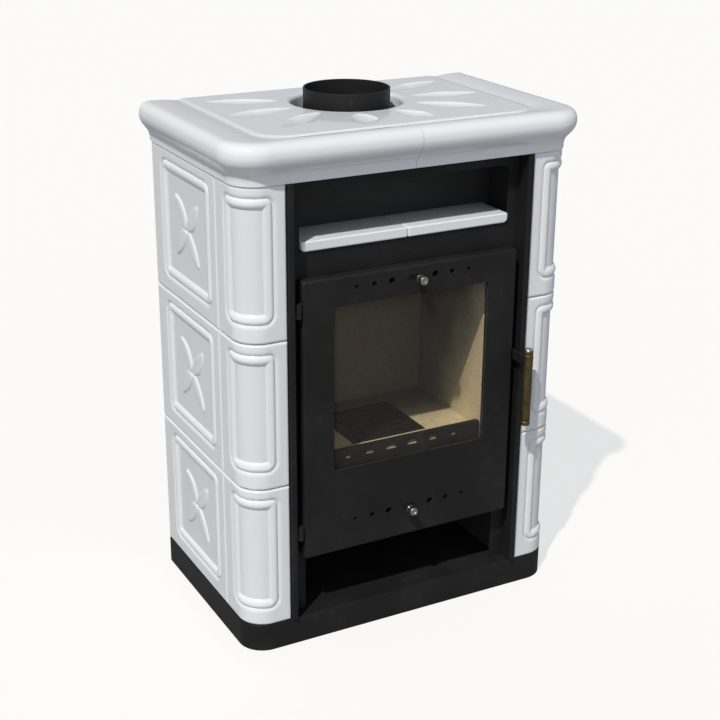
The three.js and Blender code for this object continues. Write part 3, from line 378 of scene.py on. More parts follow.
ironLook = {"base": "1d1d1d", "rust": "4b3527", "ash": "6b6862", "rusting": 0.14, "dusting": 0.14,
            "roughness": 0.6}


def ironNodes(p):
    # cast iron: sand grain, patches of ash dust, a warm trace of rust
    look = ironLook
    ash = p.noise(38, 5).step(0.5, 0.75)
    rust = p.noise(17, 4).step(0.58, 0.78)
    colour = (rust * look["rusting"]).colours(tone(look["base"]), tone(look["rust"]))
    colour = (ash * look["dusting"]).colours(colour, tone(look["ash"]))
    return {"Base Color": colour, "Roughness": look["roughness"] + ash * 0.2,
            "Height": p.noise(520, 6, 0.7)}


# the soot colour and the soot settings here paint soot and shade together on the boards
boardLook = {"base": "f1e8cd", "shade": "dccfae", "flake": "aa9468", "soot": "322d25",
             "shading": 0.55, "flakes": 0.8, "sootAndShading": 0.86, "sootAndShadeBack": 2.4,
             "sootAndShadePatches": 0.16, "sootAndShadeSpan": (0.1, 0.48)}


def boardNodes(p):
    # pressed fire board: pale flakes in a cream ground, soot and painted shade thick at the back
    # and towards the top
    look = boardLook
    flakes = p.node("Mapping", {0: p, 3: (1, 1, 1.6)}).cells(210, out=1)
    fleck = p.node("SeparateColor", {0: flakes}).step(0.55, 0.95)
    dark = (1 - p.cells(150).step(0.1, 0.24)) * p.noise(60, 3).step(0.5, 0.62)
    depth, height = (p.node("SeparateXYZ", {0: p}, out=k) for k in (1, 2))
    # soot here means soot and painted shade: darker towards the back and the top, clean at the
    # front and the bottom
    soot = depth * look["sootAndShadeBack"] + height + p.noise(12, 5) * look["sootAndShadePatches"]
    soot = soot.step(*look["sootAndShadeSpan"])
    colour = (fleck * look["shading"]).colours(tone(look["base"]), tone(look["shade"]))
    colour = (dark * look["flakes"]).colours(colour, tone(look["flake"]))
    # the soot colour lays soot and painted shade over the board
    colour = (soot * look["sootAndShading"]).colours(colour, tone(look["soot"]))
    return {"Base Color": colour, "Height": p.noise(260, 5, 0.7) + fleck * 0.25}


brassLook = {"metal": "7c6e47", "tarnish": "4b432c", "rub": "a39368", "rubbing": 0.4,
             "roughness": 0.34, "metallic": 0.96, "turning": (60, 60, 2600)}


def brassNodes(p):
    # antiqued brass: brown tarnish rubbed back where the hand goes, fine turning marks
    look = brassLook
    marks = p.node("Mapping", {0: p, 3: look["turning"]}).noise(1.0, 2)
    patina = p.noise(70, 5, 0.65).step(0.35, 0.7)
    rubbed = p.noise(28, 3).step(0.55, 0.8)
    colour = patina.colours(tone(look["metal"]), tone(look["tarnish"]))
    colour = (rubbed * look["rubbing"]).colours(colour, tone(look["rub"]))
    return {"Base Color": colour, "Roughness": look["roughness"] + patina * 0.2 + marks * 0.06,
            "Metallic": look["metallic"] - patina * 0.25, "Height": marks * 0.5}


turnedLook = {"bright": "b9b7b2", "stain": "85827c", "staining": 0.5, "roughness": 0.24,
              "across": 90, "along": 5200}


def turnedNodes(p):
    # bright turned steel: lines round the axis, which runs front to back
    look = turnedLook
    x, y, z = (p.node("SeparateXYZ", {0: p}, out=k) for k in (0, 1, 2))
    lines = p.node("CombineXYZ", {0: x * look["across"], 1: y * look["along"],
                                  2: z * look["across"]}).noise(1.0, 2)
    stain = p.noise(230, 4).step(0.45, 0.75)
    colour = (stain * look["staining"]).colours(tone(look["bright"]), tone(look["stain"]))
    return {"Base Color": colour, "Roughness": look["roughness"] + lines * 0.14 + stain * 0.12,
            "Height": lines * 0.5}


fibreLook = {"soot": "4d4b48", "thread": "8f8c86", "threads": 240, "unevenness": 5}


def fibreNodes(p):
    # knitted glass fibre: uneven slanting threads, grey with soot between them
    look = fibreLook
    threads = p.node("TexWave", {0: p, "Scale": look["threads"], "Detail": 2,
                                 "Distortion": look["unevenness"]}, out=1,
                     bands_direction="DIAGONAL")
    return {"Base Color": threads.colours(tone(look["soot"]), tone(look["thread"])),
            "Height": threads + p.noise(700, 3) * 0.5}


# reach is how far the bumps stand out, in metres
glaze = newFinish("whiteGlaze", glazeNodes, IOR=1.5, Coat_Weight=0.35, Coat_Roughness=0.03,
                  reach=0.00035)
blackSteel = newFinish("satinBlackSteel", steelNodes, Specular_IOR_Level=0.2, reach=0.00006)
sheetSteel = newFinish("rolledBlackSheet", sheetNodes, Specular_IOR_Level=0.2, reach=0.00005)
castIron = newFinish("castIron", ironNodes, Specular_IOR_Level=0.25, reach=0.0003)
fireBoard = newFinish("fireBoard", boardNodes, Roughness=0.93, Specular_IOR_Level=0.2,
                      reach=0.0003)
agedBrass = newFinish("antiqueBrass", brassNodes, reach=0.00006)
turnedSteel = newFinish("turnedSteel", turnedNodes, Metallic=1.0, reach=0.00003)
knitFibre = newFinish("knittedFibre", fibreNodes, Roughness=0.95, reach=0.0007)


glassLook = {"clear": "fbf8f2", "gloss": "a3a4a6", "roughness": 0.03, "blend": 0.28, "edge": 0.3,
             "haze": 0.02, "least": 0.02}


def makeGlass():
    # the pane lets the light straight through, and a thin gloss lies over it
    look = glassLook
    finish = bpy.data.materials.new("amberGlass")
    finish.use_nodes = True
    tree = finish.node_tree
    gloss = tree.nodes["Principled BSDF"]
    gloss.inputs["Base Color"].default_value = tone(look["gloss"])
    gloss.inputs["Roughness"].default_value = look["roughness"]
    p = Wire(tree).node("TexCoord", out=3)
    haze = p.noise(14, 5, 0.65).step(0.45, 0.85)
    edge = p.node("LayerWeight", {0: look["blend"]})
    clear = p.node("BsdfTransparent", {0: tone(look["clear"])})
    share = edge * look["edge"] + haze * look["haze"] + look["least"]
    mixed = p.node("MixShader", {0: share, 1: clear, 2: Wire(tree, gloss.outputs[0])})
    tree.links.new(mixed.socket, tree.nodes["Material Output"].inputs[0])
    return finish


stoveGlass = makeGlass()
print("stage 2: finishes made")


# ---- tiles ----
body = {"halfWidth": 307.5, "front": -188, "rear": 188, "cornerRadius": 45, "plinth": 50,
        "pitch": 256, "seam": 0.8, "fit": 0.3, "tilesTop": 818, "courses": 3}
tile = {"thickness": 22, "edge": 4.6, "corner": 2.0, "groove": 8, "grooveDepth": 3,
        "beadWidth": 16, "beadLean": 0.8, "beadFullness": 0.68, "crest": 0.6, "depth": 4.2,
        "cornerFront": 79.2, "cornerSide": 96,
        "sideMargin": (30, 45, 30.5, 21), "sideRadii": (17, 15),
        "cornerMargin": (23.7, 35, 32.5, 19.5), "cornerRadii": (17, 10)}
tileGrid = {"fine": 0.9, "leaves": 1.24, "across": 2.0, "upright": 3.2, "edgeBand": 6,
            "beadBand": 2}
leaf = {"length": 70, "width": 32, "height": 3.4, "start": 3, "flank": 5.5, "bend": 3,
        "swell": 2.26, "ridge": 0.2, "angles": (47, 133, 227, 313)}


def insideDistance(u, v, box, radius):
    # how far a point lies inside a rounded rectangle (u0, u1, v0, v1)
    a = np.abs(u - (box[0] + box[1]) / 2) - (box[1] - box[0]) / 2 + radius
    b = np.abs(v - (box[2] + box[3]) / 2) - (box[3] - box[2]) / 2 + radius
    return radius - np.hypot(np.maximum(a, 0), np.maximum(b, 0)) - np.minimum(np.maximum(a, b), 0)


def stations(length, bands, fine, coarse):
    # grid lines along an edge, close together within the bands: the number of lines passed is
    # summed over many short steps, and the lines lie where it reaches each whole share
    s = np.linspace(0, length, 4000)
    near = np.zeros(len(s), bool)
    for low, high in bands:
        near |= (s >= low) & (s <= high)
    total = np.concatenate([[0], np.cumsum(np.diff(s) / np.where(near, fine, coarse)[1:])])
    return np.interp(np.linspace(0, total[-1], int(total[-1]) + 1), total, s)


def smooth(x):
    # eases from 0 to 1 as 3x^2 - 2x^3
    x = np.clip(x, 0, 1)
    return x * x * (3 - 2 * x)


def leafHeight(u, v):
    # raised leaves about the tile's middle: the half width goes as sqrt(s) * (1 - s)^0.7 along the
    # bent middle line, and swell brings its widest place to the stated width
    height = np.zeros(np.broadcast(u, v).shape)
    for angle in leaf["angles"]:
        turn = radians(angle)
        s = np.clip((u * cos(turn) + v * sin(turn) - leaf["start"]) / leaf["length"], 0, 1)
        across = v * cos(turn) - u * sin(turn) - leaf["bend"] * np.sin(pi * s)
        half = leaf["width"] / 2 * leaf["swell"] * np.sqrt(s) * (1 - s) ** 0.7
        inside = np.maximum(half - np.abs(across), 0)
        ridge = 1 - leaf["ridge"] + leaf["ridge"] * inside / leaf["width"] * 2
        height = np.maximum(height, leaf["height"] * smooth(inside / leaf["flank"]) * ridge)
    return height


def tileRelief(u, v, width, height, margin, radii, leaves):
    # the edge rounds off as a quarter circle and the border dips by a square into the groove;
    # the bead is an arch (4t(1 - t))^fullness over t = across^lean, with the sunken field inside it
    edge = tile["edge"]
    share = np.clip(insideDistance(u, v, (0, width, 0, height), tile["corner"]) / edge, 0, 1)
    h = -edge * (1 - np.sqrt(1 - (1 - share) ** 2))
    box = (margin[0], width - margin[1], margin[2], height - margin[3])
    inset = insideDistance(u, v, box, np.where(v > height / 2, radii[1], radii[0]))
    across = np.clip(inset / tile["beadWidth"], 0, 1)
    ground = -tile["grooveDepth"] * np.clip(1 + inset / tile["groove"], 0, 1) ** 2
    ground = ground - (tile["depth"] - tile["grooveDepth"]) * across
    t = across ** tile["beadLean"]
    bead = (4 * t * (1 - t)) ** tile["beadFullness"]
    h = h + ground * (1 - bead) + tile["crest"] * bead
    if leaves:
        h = h + leafHeight(u - (box[0] + box[1]) / 2, v - (box[2] + box[3]) / 2)
    return h


def reliefBands(length, nearMargin, farMargin):
    # where grid lines lie close: along the tile's own edges and over the groove and the bead
    band, reach = tileGrid["edgeBand"], tile["beadWidth"] + tileGrid["beadBand"]
    far = length - farMargin
    return [(0, band), (nearMargin - band, nearMargin + reach), (far - reach, far + band),
            (length - band, length)]


def strip(first, second):
    # four-cornered faces between two rows of points
    return np.stack([first[:-1], first[1:], second[1:], second[:-1]], -1)


def tileMesh(width, height, margin, radii, placeTile, leaves):
    # the front is a grid of heights; walls and a back of two rows close it
    across, upright = tileGrid["across"], tileGrid["upright"]
    if leaves:
        across = upright = tileGrid["leaves"]
    u = stations(width, reliefBands(width, *margin[:2]), tileGrid["fine"], across)[None, :]
    v = stations(height, reliefBands(height, *margin[2:]), tileGrid["fine"], upright)[:, None]
    h = tileRelief(u, v, width, height, margin, radii, leaves)
    rows, columns = h.shape
    back = placeTile(u, np.array([[0.0], [height]]),
                     np.full((2, columns), -float(tile["thickness"])))
    points = np.concatenate([placeTile(u, v, h).reshape(-1, 3), back.reshape(-1, 3)])
    front = np.arange(rows * columns).reshape(rows, columns)
    foot, top = rows * columns + np.arange(2 * columns).reshape(2, columns)
    walls = [strip(front[0], foot), strip(front[-1], top), strip(foot, top)]
    ends = [[*front[:, k], top[k], foot[k]] for k in (0, -1)]
    relief = np.concatenate([h.ravel(), np.zeros(2 * columns)])
    return points, [gridFaces(rows, columns), *walls, ends], relief


def sidePlace(u, v, h):
    # a flat tile: u runs back along the side, v up, h out
    start = body["front"] + tile["cornerSide"] + body["seam"] / 2
    return np.stack(np.broadcast_arrays(-body["halfWidth"] - h, start + u, v + 0 * h), -1)


def cornerPlace(u, v, h):
    # the developed face bent round the corner: straight on the front, a quarter circle, straight
    # along the side
    radius = body["cornerRadius"]
    straight = tile["cornerFront"] - radius
    turn = np.clip((u - straight) / radius, 0, pi / 2)
    before = np.minimum(u - straight, 0)
    beyond = np.maximum(u - straight - radius * pi / 2, 0)
    x = -body["halfWidth"] + radius - (radius + h) * np.sin(turn) - before
    y = body["front"] + radius - (radius + h) * np.cos(turn) + beyond
    return np.stack(np.broadcast_arrays(x, y, v + 0 * h), -1)


def makeTiles():
    # the left tiles of every course, and the right ones as their mirror image
    height = body["pitch"] - body["seam"]
    sideWidth = body["rear"] - body["front"] - tile["cornerSide"] - body["seam"] / 2
    straight = tile["cornerFront"] - body["cornerRadius"]
    cornerWidth = (straight + body["cornerRadius"] * pi / 2
                   + tile["cornerSide"] - body["cornerRadius"] - body["seam"] / 2)
    kinds = {
        "side_tile": tileMesh(sideWidth, height, tile["sideMargin"], tile["sideRadii"],
                              sidePlace, True),
        "corner_tile": tileMesh(cornerWidth, height, tile["cornerMargin"], tile["cornerRadii"],
                                cornerPlace, False),
    }
    for kind, (points, faces, relief) in kinds.items():
        for course in range(body["courses"]):
            lift = body["plinth"] + body["fit"] + course * body["pitch"]
            for side, sign in (("left", 1), ("right", -1)):
                node = f"{kind}_{course + 1}_{side}"
                shifted = points * [sign, 1, 1] + [0, 0, lift]
                addPiece(f"{node}_glazed", shifted, faces, "body", glaze, (node,),
                         relief=relief)


makeTiles()
print("stage 3: twelve tiles")


# ---- top slab ----
slab = {"side": 19.3, "front": 24, "thickness": 68.2, "rimSide": 57.5, "rimFront": 28,
        "panelRadius": 48, "seam": 0.4, "flueY": 51, "hole": 96, "lip": 7, "panelDrop": 1.2,
        "sharp": 65}
slabGrid = {"rays": 340, "cornerRays": 25, "seamGaps": (0.5, 1, 2), "frontRun": 248,
            "lipSteps": 6, "panelRings": 96, "edgeSteps": 5}
petal = {"inner": 118, "outer": 242, "frontOuter": 200, "width": 46, "depth": 5.4, "point": 1.2,
         "bowl": 0.62, "angles": (21, -10, -39, -73)}
# the moulded edge from the cove at the foot to the groove round the panel: the share of the
# overhang, or below 0 of the inset, and the height over the slab's foot
slabProfile = [(0.08, 0), (0.1, 9), (0.22, 17.5), (0.52, 25.5), (0.84, 34.5), (0.97, 42),
               (1, 48.5), (0.94, 56.5), (0.74, 63.4), (0.4, 67.1), (-0.01, 68.2), (-0.4, 67.5),
               (-0.66, 66.2), (-0.8, 65.2), (-0.88, 64.9), (-0.95, 65.4), (-1.02, 66.5),
               (-1.09, 67)]


def slabLine(out, t):
    # the outline of the left half at a share of overhang or inset: t runs 0-1 along the rear from
    # the seam, 1-2 forward along the side, 2-3 round the corner and 3-4 along the front to the seam
    out = np.asarray(out, float)[:, None]
    side = np.where(out > 0, out * slab["side"], out * slab["rimSide"])
    front = np.where(out > 0, out * slab["front"], out * slab["rimFront"])
    radius = np.where(out > 0, body["cornerRadius"] + side,
                      body["cornerRadius"] - out * (slab["panelRadius"] - body["cornerRadius"]))
    left, fore = -body["halfWidth"] - side, body["front"] - front
    t = t[None, :]
    turn = np.clip(t - 2, 0, 1) * pi / 2
    x = left + radius * (1 - np.cos(turn))
    x = x + (-slab["seam"] - left - radius) * np.clip(t - 3, 0, 1)
    x = np.where(t < 1, -slab["seam"] + (left + slab["seam"]) * np.clip(t, 0, 1), x)
    y = body["rear"] + (fore + radius - body["rear"]) * np.clip(t - 1, 0, 1) - radius * np.sin(turn)
    return x, y


def petalDepth(x, y):
    # scooped petals round the flue: each is depth * (1 - |along|^point - across^2)^bowl
    depth = np.zeros_like(x)
    dy = y - slab["flueY"]
    for angle in petal["angles"]:
        turn = radians(180 - angle)
        frontmost = abs(sin(turn)) > 0.9
        outer = petal["frontOuter"] if frontmost else petal["outer"]
        middle, half = (outer + petal["inner"]) / 2, (outer - petal["inner"]) / 2
        along = (x * cos(turn) + dy * sin(turn) - middle) / half
        across = (dy * cos(turn) - x * sin(turn)) / (petal["width"] / 2)
        hollow = np.clip(1 - np.abs(along) ** petal["point"] - across ** 2, 0, 1)
        depth = np.maximum(depth, petal["depth"] * hollow ** petal["bowl"])
    return depth


def slabMesh():
    # rays from the flue's axis cross the hole's wall, the lip and the panel; the moulded edge
    # goes on from the panel's rim
    g = slabGrid
    base = body["tilesTop"] + body["fit"]
    panelZ = base + slab["thickness"] - slab["panelDrop"]
    rim = slabProfile[-1][0]

    # the rays lie at even angles, with more at the rounded corner and beside the front seam
    dense = np.linspace(0, 4, 4001)
    x, y = (value[0] for value in slabLine([rim], dense))
    angle = np.unwrap(np.arctan2(y - slab["flueY"], x + slab["seam"]))
    t = np.interp(np.linspace(angle[0], angle[-1], g["rays"]), angle, dense)
    t = np.unique(np.concatenate([t, [0, 1, 4], np.linspace(2, 3, g["cornerRays"]),
                                  4 - np.array(g["seamGaps"]) / g["frontRun"]]))
    x, y = (value[0] for value in slabLine([rim], t))
    angle = np.interp(t, dense, angle)
    ray = np.stack([np.cos(angle), np.sin(angle)], -1)

    # inside the rim: up the hole's wall, over the rounded lip and out across the panel
    turn = np.linspace(0, pi / 2, g["lipSteps"])
    wallR = np.concatenate([[slab["hole"]], slab["hole"] + slab["lip"] * (1 - np.cos(turn))])
    wallZ = np.concatenate([[base], panelZ - slab["lip"] * (1 - np.sin(turn))])
    wall = np.concatenate([wallR[:, None, None] * ray + [-slab["seam"], slab["flueY"]],
                           np.broadcast_to(wallZ[:, None, None], (len(wallZ), len(t), 1))], -1)
    share = np.linspace(0, 1, g["panelRings"])[1:, None, None]
    flat = wall[-1, :, :2] * (1 - share) + np.stack([x, y], -1) * share
    panel = np.concatenate([flat, (panelZ - petalDepth(flat[..., 0], flat[..., 1]))[..., None]], -1)
    inner = np.concatenate([wall, panel])

    # outside the rim: the moulded profile carried round the side, the corner and the front
    profile = smoothLine(slabProfile[::-1], g["edgeSteps"])
    profile[:, 0] = np.minimum(profile[:, 0], 1)
    ox, oy = slabLine(profile[:, 0], t[t >= 1])
    outer = np.stack([ox, oy, np.broadcast_to(base + profile[:, 1:], ox.shape)], -1)

    # flat faces close the rear, the seam and the underside
    points = np.concatenate([inner.reshape(-1, 3), outer.reshape(-1, 3),
                             [[-slab["seam"], body["rear"], base]]])
    rows, columns = inner.shape[:2]
    outerRows, outerColumns = outer.shape[:2]
    first = rows * columns
    grid = np.arange(first).reshape(rows, columns)
    edge = first + np.arange(outerRows * outerColumns).reshape(outerRows, outerColumns)
    rearFoot = len(points) - 1
    rearCount = int(np.sum(t < 1))
    rearWall = [*edge[::-1, 0], *grid[-1, :rearCount][::-1], rearFoot]
    frontSeam = [*edge[::-1, -1], *grid[:-1, -1][::-1]]
    rearSeam = [rearFoot, *grid[::-1, 0]]
    underside = [*edge[-1], *grid[0][::-1], rearFoot]
    faces = [gridFaces(rows, columns), gridFaces(outerRows, outerColumns) + first,
             [rearWall, frontSeam, rearSeam, underside]]
    # the glaze reads relief on the panel and its petals, and none further down the hole's wall
    height = inner[..., 2].ravel() - panelZ
    relief = np.zeros(len(points))
    relief[:first] = height * (height > 1 - slab["lip"])
    return points, faces, relief


def makeSlab():
    # the left half, and its mirror image
    points, faces, relief = slabMesh()
    for side, sign in (("left", 1), ("right", -1)):
        addPiece(f"top_slab_{side}_glazed", points * [sign, 1, 1], faces, "body", glaze,
                 (f"top_slab_{side}",), sharp=slab["sharp"], relief=relief)


makeSlab()
print("stage 4: top slab")


# ---- shelf and plinth ----
shelf = {"half": 195, "front": -168, "rear": -86, "bottom": 698, "top": 715, "rounding": 2.6,
         "foot": 8, "corner": 3}
plinth = {"wall": 2.5, "edge": 1.2, "rearCorner": 3, "fold": 0.6, "footEdge": 0.5}


def makeShelf():
    # a board drawn across its front, the lower outer corner rounded, and all its edges softened
    s = shelf
    radii = (s["foot"], s["corner"], s["corner"], s["corner"])
    line, normals = outline(-s["half"], -slab["seam"], s["bottom"], s["top"], radii)
    points, faces = plateMesh([(line, normals, s["rounding"])], s["front"], s["rear"], "y")
    for side, sign in (("left", 1), ("right", -1)):
        addPiece(f"warming_shelf_{side}_glazed", points * [sign, 1, 1], faces, "body", glaze,
                 (f"warming_shelf_{side}",))


def makePlinth():
    # a folded pan: rings go up inside, over the foot, up the outer wall and onto the top
    half, height, wall, foot = body["halfWidth"], body["plinth"], plinth["wall"], plinth["footEdge"]
    radii = (body["cornerRadius"], body["cornerRadius"], plinth["rearCorner"], plinth["rearCorner"])
    line, normals = outline(-half, half, body["front"], body["rear"], radii, steps=20)
    edge = roundEdge(plinth["edge"])[::-1] * [1, -1] + [0, height]
    profile = [[wall + plinth["fold"], height - wall], [wall, height - wall - plinth["fold"]],
               [wall, foot], [wall - foot, 0], [foot, 0], [0, foot], *edge]
    stack = ringStack(line, normals, profile, "z")
    rows, columns = stack.shape[:2]
    ends = [np.arange(columns), (rows - 1) * columns + np.arange(columns)]
    addPiece("plinth_folded", stack, [gridFaces(rows, columns, closed=True), ends], "body",
             blackSteel, ("plinth",))


makeShelf()
makePlinth()
print("stage 5: shelf and plinth")


# ---- door ----
door = {"half": 203, "bottom": 161, "top": 656, "front": -190, "depth": 21, "sheet": 2.5,
        "edge": 4, "corner": 5, "rearEdge": 0.4, "windowHalf": 147, "windowBottom": 314.5,
        "windowTop": 606, "windowCorner": 6, "holes": ((41, 11), (73.75, 8.5), (106.5, 6)),
        "rows": (635.5, 216.5), "slotHalf": 11, "slotHeight": 9, "cutEdge": 0.35}
knob = {"offset": 5, "stem": 2.75, "radius": 7.2, "rear": -187.5, "back": -200.6,
        "groove": (-203.4, -204.6), "grooveDepth": 0.4, "front": -216.5, "chamfer": 0.8,
        "dish": (3.7, 3.2)}


def doorCuts():
    # the window, the air holes and the slots, as loops with their normals
    d = door
    cuts = [outline(-d["windowHalf"], d["windowHalf"], d["windowBottom"], d["windowTop"],
                    d["windowCorner"])]
    for z in d["rows"]:
        for x, size in d["holes"]:
            cuts += [circle(x, z, size / 2, 28), circle(-x, z, size / 2, 28)]
        half = d["slotHeight"] / 2
        cuts.append(outline(-d["slotHalf"], d["slotHalf"], z - half, z + half, half - 0.05))
    return cuts


def makeDoor():
    # rings round the pan: its outside from the rear to the rounded front, its inside back again;
    # the front and the inner face are filled between the outline and the cuts
    d = door
    line, normals = outline(-d["half"], d["half"], d["bottom"], d["top"], d["corner"])
    sheet, back, front, rim = d["sheet"], d["front"] + d["depth"], d["front"], d["rearEdge"]
    edge = roundEdge(d["edge"], steps=6)
    inner = roundEdge(d["edge"] - sheet, steps=3)
    outside = np.vstack([[[sheet - rim, back], [rim, back], [0, back - rim]],
                         edge[::-1] + [0, front]])
    inside = np.vstack([inner + [sheet, front + sheet], [[sheet, back - rim], [sheet - rim, back]]])
    points, faces, frontLoops, backLoops, count = [], [], [], [], 0
    cutEdge = roundEdge(d["cutEdge"], steps=2, support=0.4)
    cutProfile = np.vstack([cutEdge + [0, front], cutEdge[::-1] * [1, -1] + [0, front + sheet]])
    cutProfile[:, 0] *= -1
    stacks = [(outside, line, normals), (inside, line, normals)]
    stacks += [(cutProfile, *cut) for cut in doorCuts()]
    for number, (profile, loop, loopNormals) in enumerate(stacks):
        stack = ringStack(loop, loopNormals, profile, "y")
        rows, columns = stack.shape[:2]
        first = count + np.arange(columns)
        last = first + (rows - 1) * columns
        if number == 0:
            frontLoops.append(last)
        elif number == 1:
            backLoops.append(first)
        else:
            frontLoops.append(first)
            backLoops.append(last)
        points.append(stack.reshape(-1, 3))
        faces.append(gridFaces(rows, columns, closed=True) + count)
        count += rows * columns
    points = np.concatenate(points)
    faces += [capLoops(points, frontLoops), capLoops(points, backLoops)]
    addPiece("door_pan_folded", points, faces, "door", blackSteel, ("door_pan",))


def makeKnob(name, x, z, bodyName):
    # a turned knob on its stem, with a chamfer, a fine groove and a dished face, from a section
    # of (radius, y) points
    n = knob
    r, stem, chamfer = n["radius"], n["stem"], n["chamfer"]
    nearGroove, farGroove = n["groove"]
    deep, floor = r - n["grooveDepth"], n["front"] + chamfer
    profile = [(0, n["rear"]), (stem, n["rear"]), (stem, n["back"]), (r - 0.6, n["back"]),
               (r, n["back"] - 0.6), (r, nearGroove), (deep, nearGroove - 0.3),
               (deep, farGroove + 0.3), (r, farGroove), (r, floor), (r - chamfer, n["front"]),
               (n["dish"][0], n["front"]), (n["dish"][1], floor), (0, floor)]
    points, faces = lathe(filleted(profile, 0.25, 3), (x, 0, z), 56, "y")
    addPiece(f"{name}_turned", points, faces, bodyName, turnedSteel, (name,),
             sharp=30)


makeDoor()
makeKnob("upper_air_knob", knob["offset"], door["rows"][0], "upper_air")
makeKnob("lower_air_knob", -knob["offset"], door["rows"][1], "lower_air")
print("stage 6: door and knobs")


# ---- latch lever and grip ----
grip = {"x": 217, "y": -218, "radius": 8.5, "bore": 4.3, "low": 338, "top": 478,
        "grooveDepth": 0.9, "grooveFlat": 1.7, "lowGroove": 7, "topGroove": 8, "capGap": 0.3}
lever = {"left": 205.5, "right": 210.5, "front": -221, "shaft": -178, "z": 462, "eye": 9,
         "foot": 8, "corner": 1.4, "edge": 0.6, "shaftHole": 5.3, "pin": -200, "pinHole": 3,
         "stubRear": -215.2, "stubHalf": 6, "coreRadius": 4, "coreLow": 347}


def grooveLine(start):
    # a ring groove with sloping sides, as points of (radius, height)
    r, depth, flat = grip["radius"], grip["grooveDepth"], grip["grooveFlat"]
    return [(r, start), (r - depth, start + depth), (r - depth, start + depth + flat),
            (r, start + 2 * depth + flat)]


def makeGrip():
    # a turned brass sleeve, slightly waisted, with a ring groove near either end, and its steel cap
    r, bore, low, top = (grip[key] for key in ("radius", "bore", "low", "top"))
    centre = (grip["x"], grip["y"], 0)
    profile = [(bore, low), (r - 1, low), (r, low + 1), *grooveLine(low + grip["lowGroove"]),
               (r - 0.1, (low + top) / 2), *grooveLine(top - grip["topGroove"]), (r, top - 1),
               (r - 0.8, top), (bore, top), (bore, low)]
    points, faces = lathe(filleted(profile, 0.5, 3), centre, 64)
    addPiece("brass_grip_turned", points, faces, "latch", agedBrass, ("brass_grip",))
    foot = top + grip["capGap"]
    profile = [(0, foot), (r - 0.5, foot), (r - 0.5, foot + 1.7), (r - 1.8, foot + 3),
               (3.4, foot + 3), (2.6, foot + 2.3), (0, foot + 2.3)]
    points, faces = lathe(filleted(profile, 0.3, 3), centre, 64)
    addPiece("grip_cap_turned", points, faces, "latch", turnedSteel, ("grip_cap",))


def makeLever():
    # a flat bar with a round eye on the shaft; a stub and a core reach into the grip
    v = lever
    shaft, z = v["shaft"], v["z"]
    turn = np.linspace(-pi / 2, pi / 2, 17)
    eyeNormal = np.stack([np.cos(turn), np.sin(turn)], -1)
    end, endNormal = outline(v["front"], shaft, z - v["foot"], z + v["eye"], v["corner"], steps=3)
    keep = end[:, 0] < shaft - 5
    # the bar's points follow the eye's in the order of their angle about the shaft
    order = np.argsort(np.arctan2(end[keep, 1] - z, end[keep, 0] - shaft - 1) % (2 * pi))
    line = np.vstack([[shaft, z] + v["eye"] * eyeNormal, end[keep][order]])
    normals = np.vstack([eyeNormal, endNormal[keep][order]])
    bar = plateMesh([(line, normals, v["edge"]), (*circle(shaft, z, v["shaftHole"], 28), 0.3),
                     (*circle(v["pin"], z, v["pinHole"], 24), 0.3)], v["left"], v["right"], "x")
    stub = roundedBox((v["left"] + 1, v["front"] + 0.2, z - v["stubHalf"]),
                      (grip["x"], v["stubRear"], z + v["stubHalf"]), 0.5)
    rod = [(0, v["coreLow"]), (v["coreRadius"], v["coreLow"]), (v["coreRadius"], grip["top"]),
           (0, grip["top"])]
    core = lathe(filleted(rod, 0.5, 2), (grip["x"], grip["y"], 0), 24)
    points, faces = joined(bar, stub, core)
    addPiece("latch_lever_flat", points, faces, "latch", blackSteel, ("latch_lever",))


makeGrip()
makeLever()
print("stage 7: latch lever and grip")


# ---- flue collar, log guard, linings, seals ----
collar = {"radius": 75, "wall": 3, "foot": 815.8, "flange": 86, "plate": 4, "rim": 908,
          "weld": 1.5, "rounding": 0.8}
guard = {"half": 158, "front": -161.2, "thickness": 3, "bottom": 290.3, "top": 335, "lip": 8,
         "corner": 1.5, "edge": 0.5, "lipRounding": 0.9, "lipStep": 0.4,
         "moons": ((21, 10), (63, 8), (105, 5.5)), "moonFoot": 317.5, "moonEdge": 0.15}
lining = {"half": 160, "thickness": 30, "front": -157.9, "back": 59, "bottom": 290.3, "top": 612,
          "edge": 1.6, "joint": 0.3}
baffle = {"front": -77, "rear": 88.7, "thickness": 20, "sideGap": 2}
rope = {"half": 178, "low": 173, "high": 644, "corner": 16, "radius": 5.8, "y": -170.1,
        "stations": 900, "sides": 20, "lays": 230, "strands": 4, "braid": 0.4, "inset": 0.45}
gasket = {"outside": (-157, 157, 304.5, 616, 6), "inside": (-148, 148, 313.5, 607, 2),
          "front": -187.2, "rear": -185.2}


def makeCollar():
    # a pipe on a flat flange, turned from its section
    c = collar
    radius, foot, weld = c["radius"], c["foot"], c["weld"]
    inner, plateTop = radius - c["wall"], foot + c["plate"]
    profile = [(inner, foot), (c["flange"], foot), (c["flange"], plateTop),
               (radius + weld, plateTop), (radius, plateTop + weld), (radius, c["rim"]),
               (inner, c["rim"]), (inner, foot)]
    points, faces = lathe(filleted(profile, c["rounding"], 4), (0, slab["flueY"], 0), 128)
    addPiece("flue_collar_rolled", points, faces, "body", blackSteel, ("flue_collar",))


def makeGuard():
    # a strip with half-moon holes and a lip folded back along its top
    g = guard
    line, normals = outline(-g["half"], g["half"], g["bottom"], g["top"], g["corner"], steps=3)
    loops = [(line, normals, g["edge"])]
    for x, radius in g["moons"]:
        for side in (-1, 1):
            loops.append((*circle(side * x, g["moonFoot"], radius, 25, 0.5), g["moonEdge"]))
    back = g["front"] + g["thickness"]
    plate = plateMesh(loops, g["front"], back, "y")
    lip = roundedBox((-g["half"], g["front"] + g["lipStep"], g["top"] - g["thickness"]),
                     (g["half"], back + g["lip"], g["top"]), g["lipRounding"])
    points, faces = joined(plate, lip)
    addPiece("log_guard_folded", points, faces, "body", castIron, ("log_guard",))


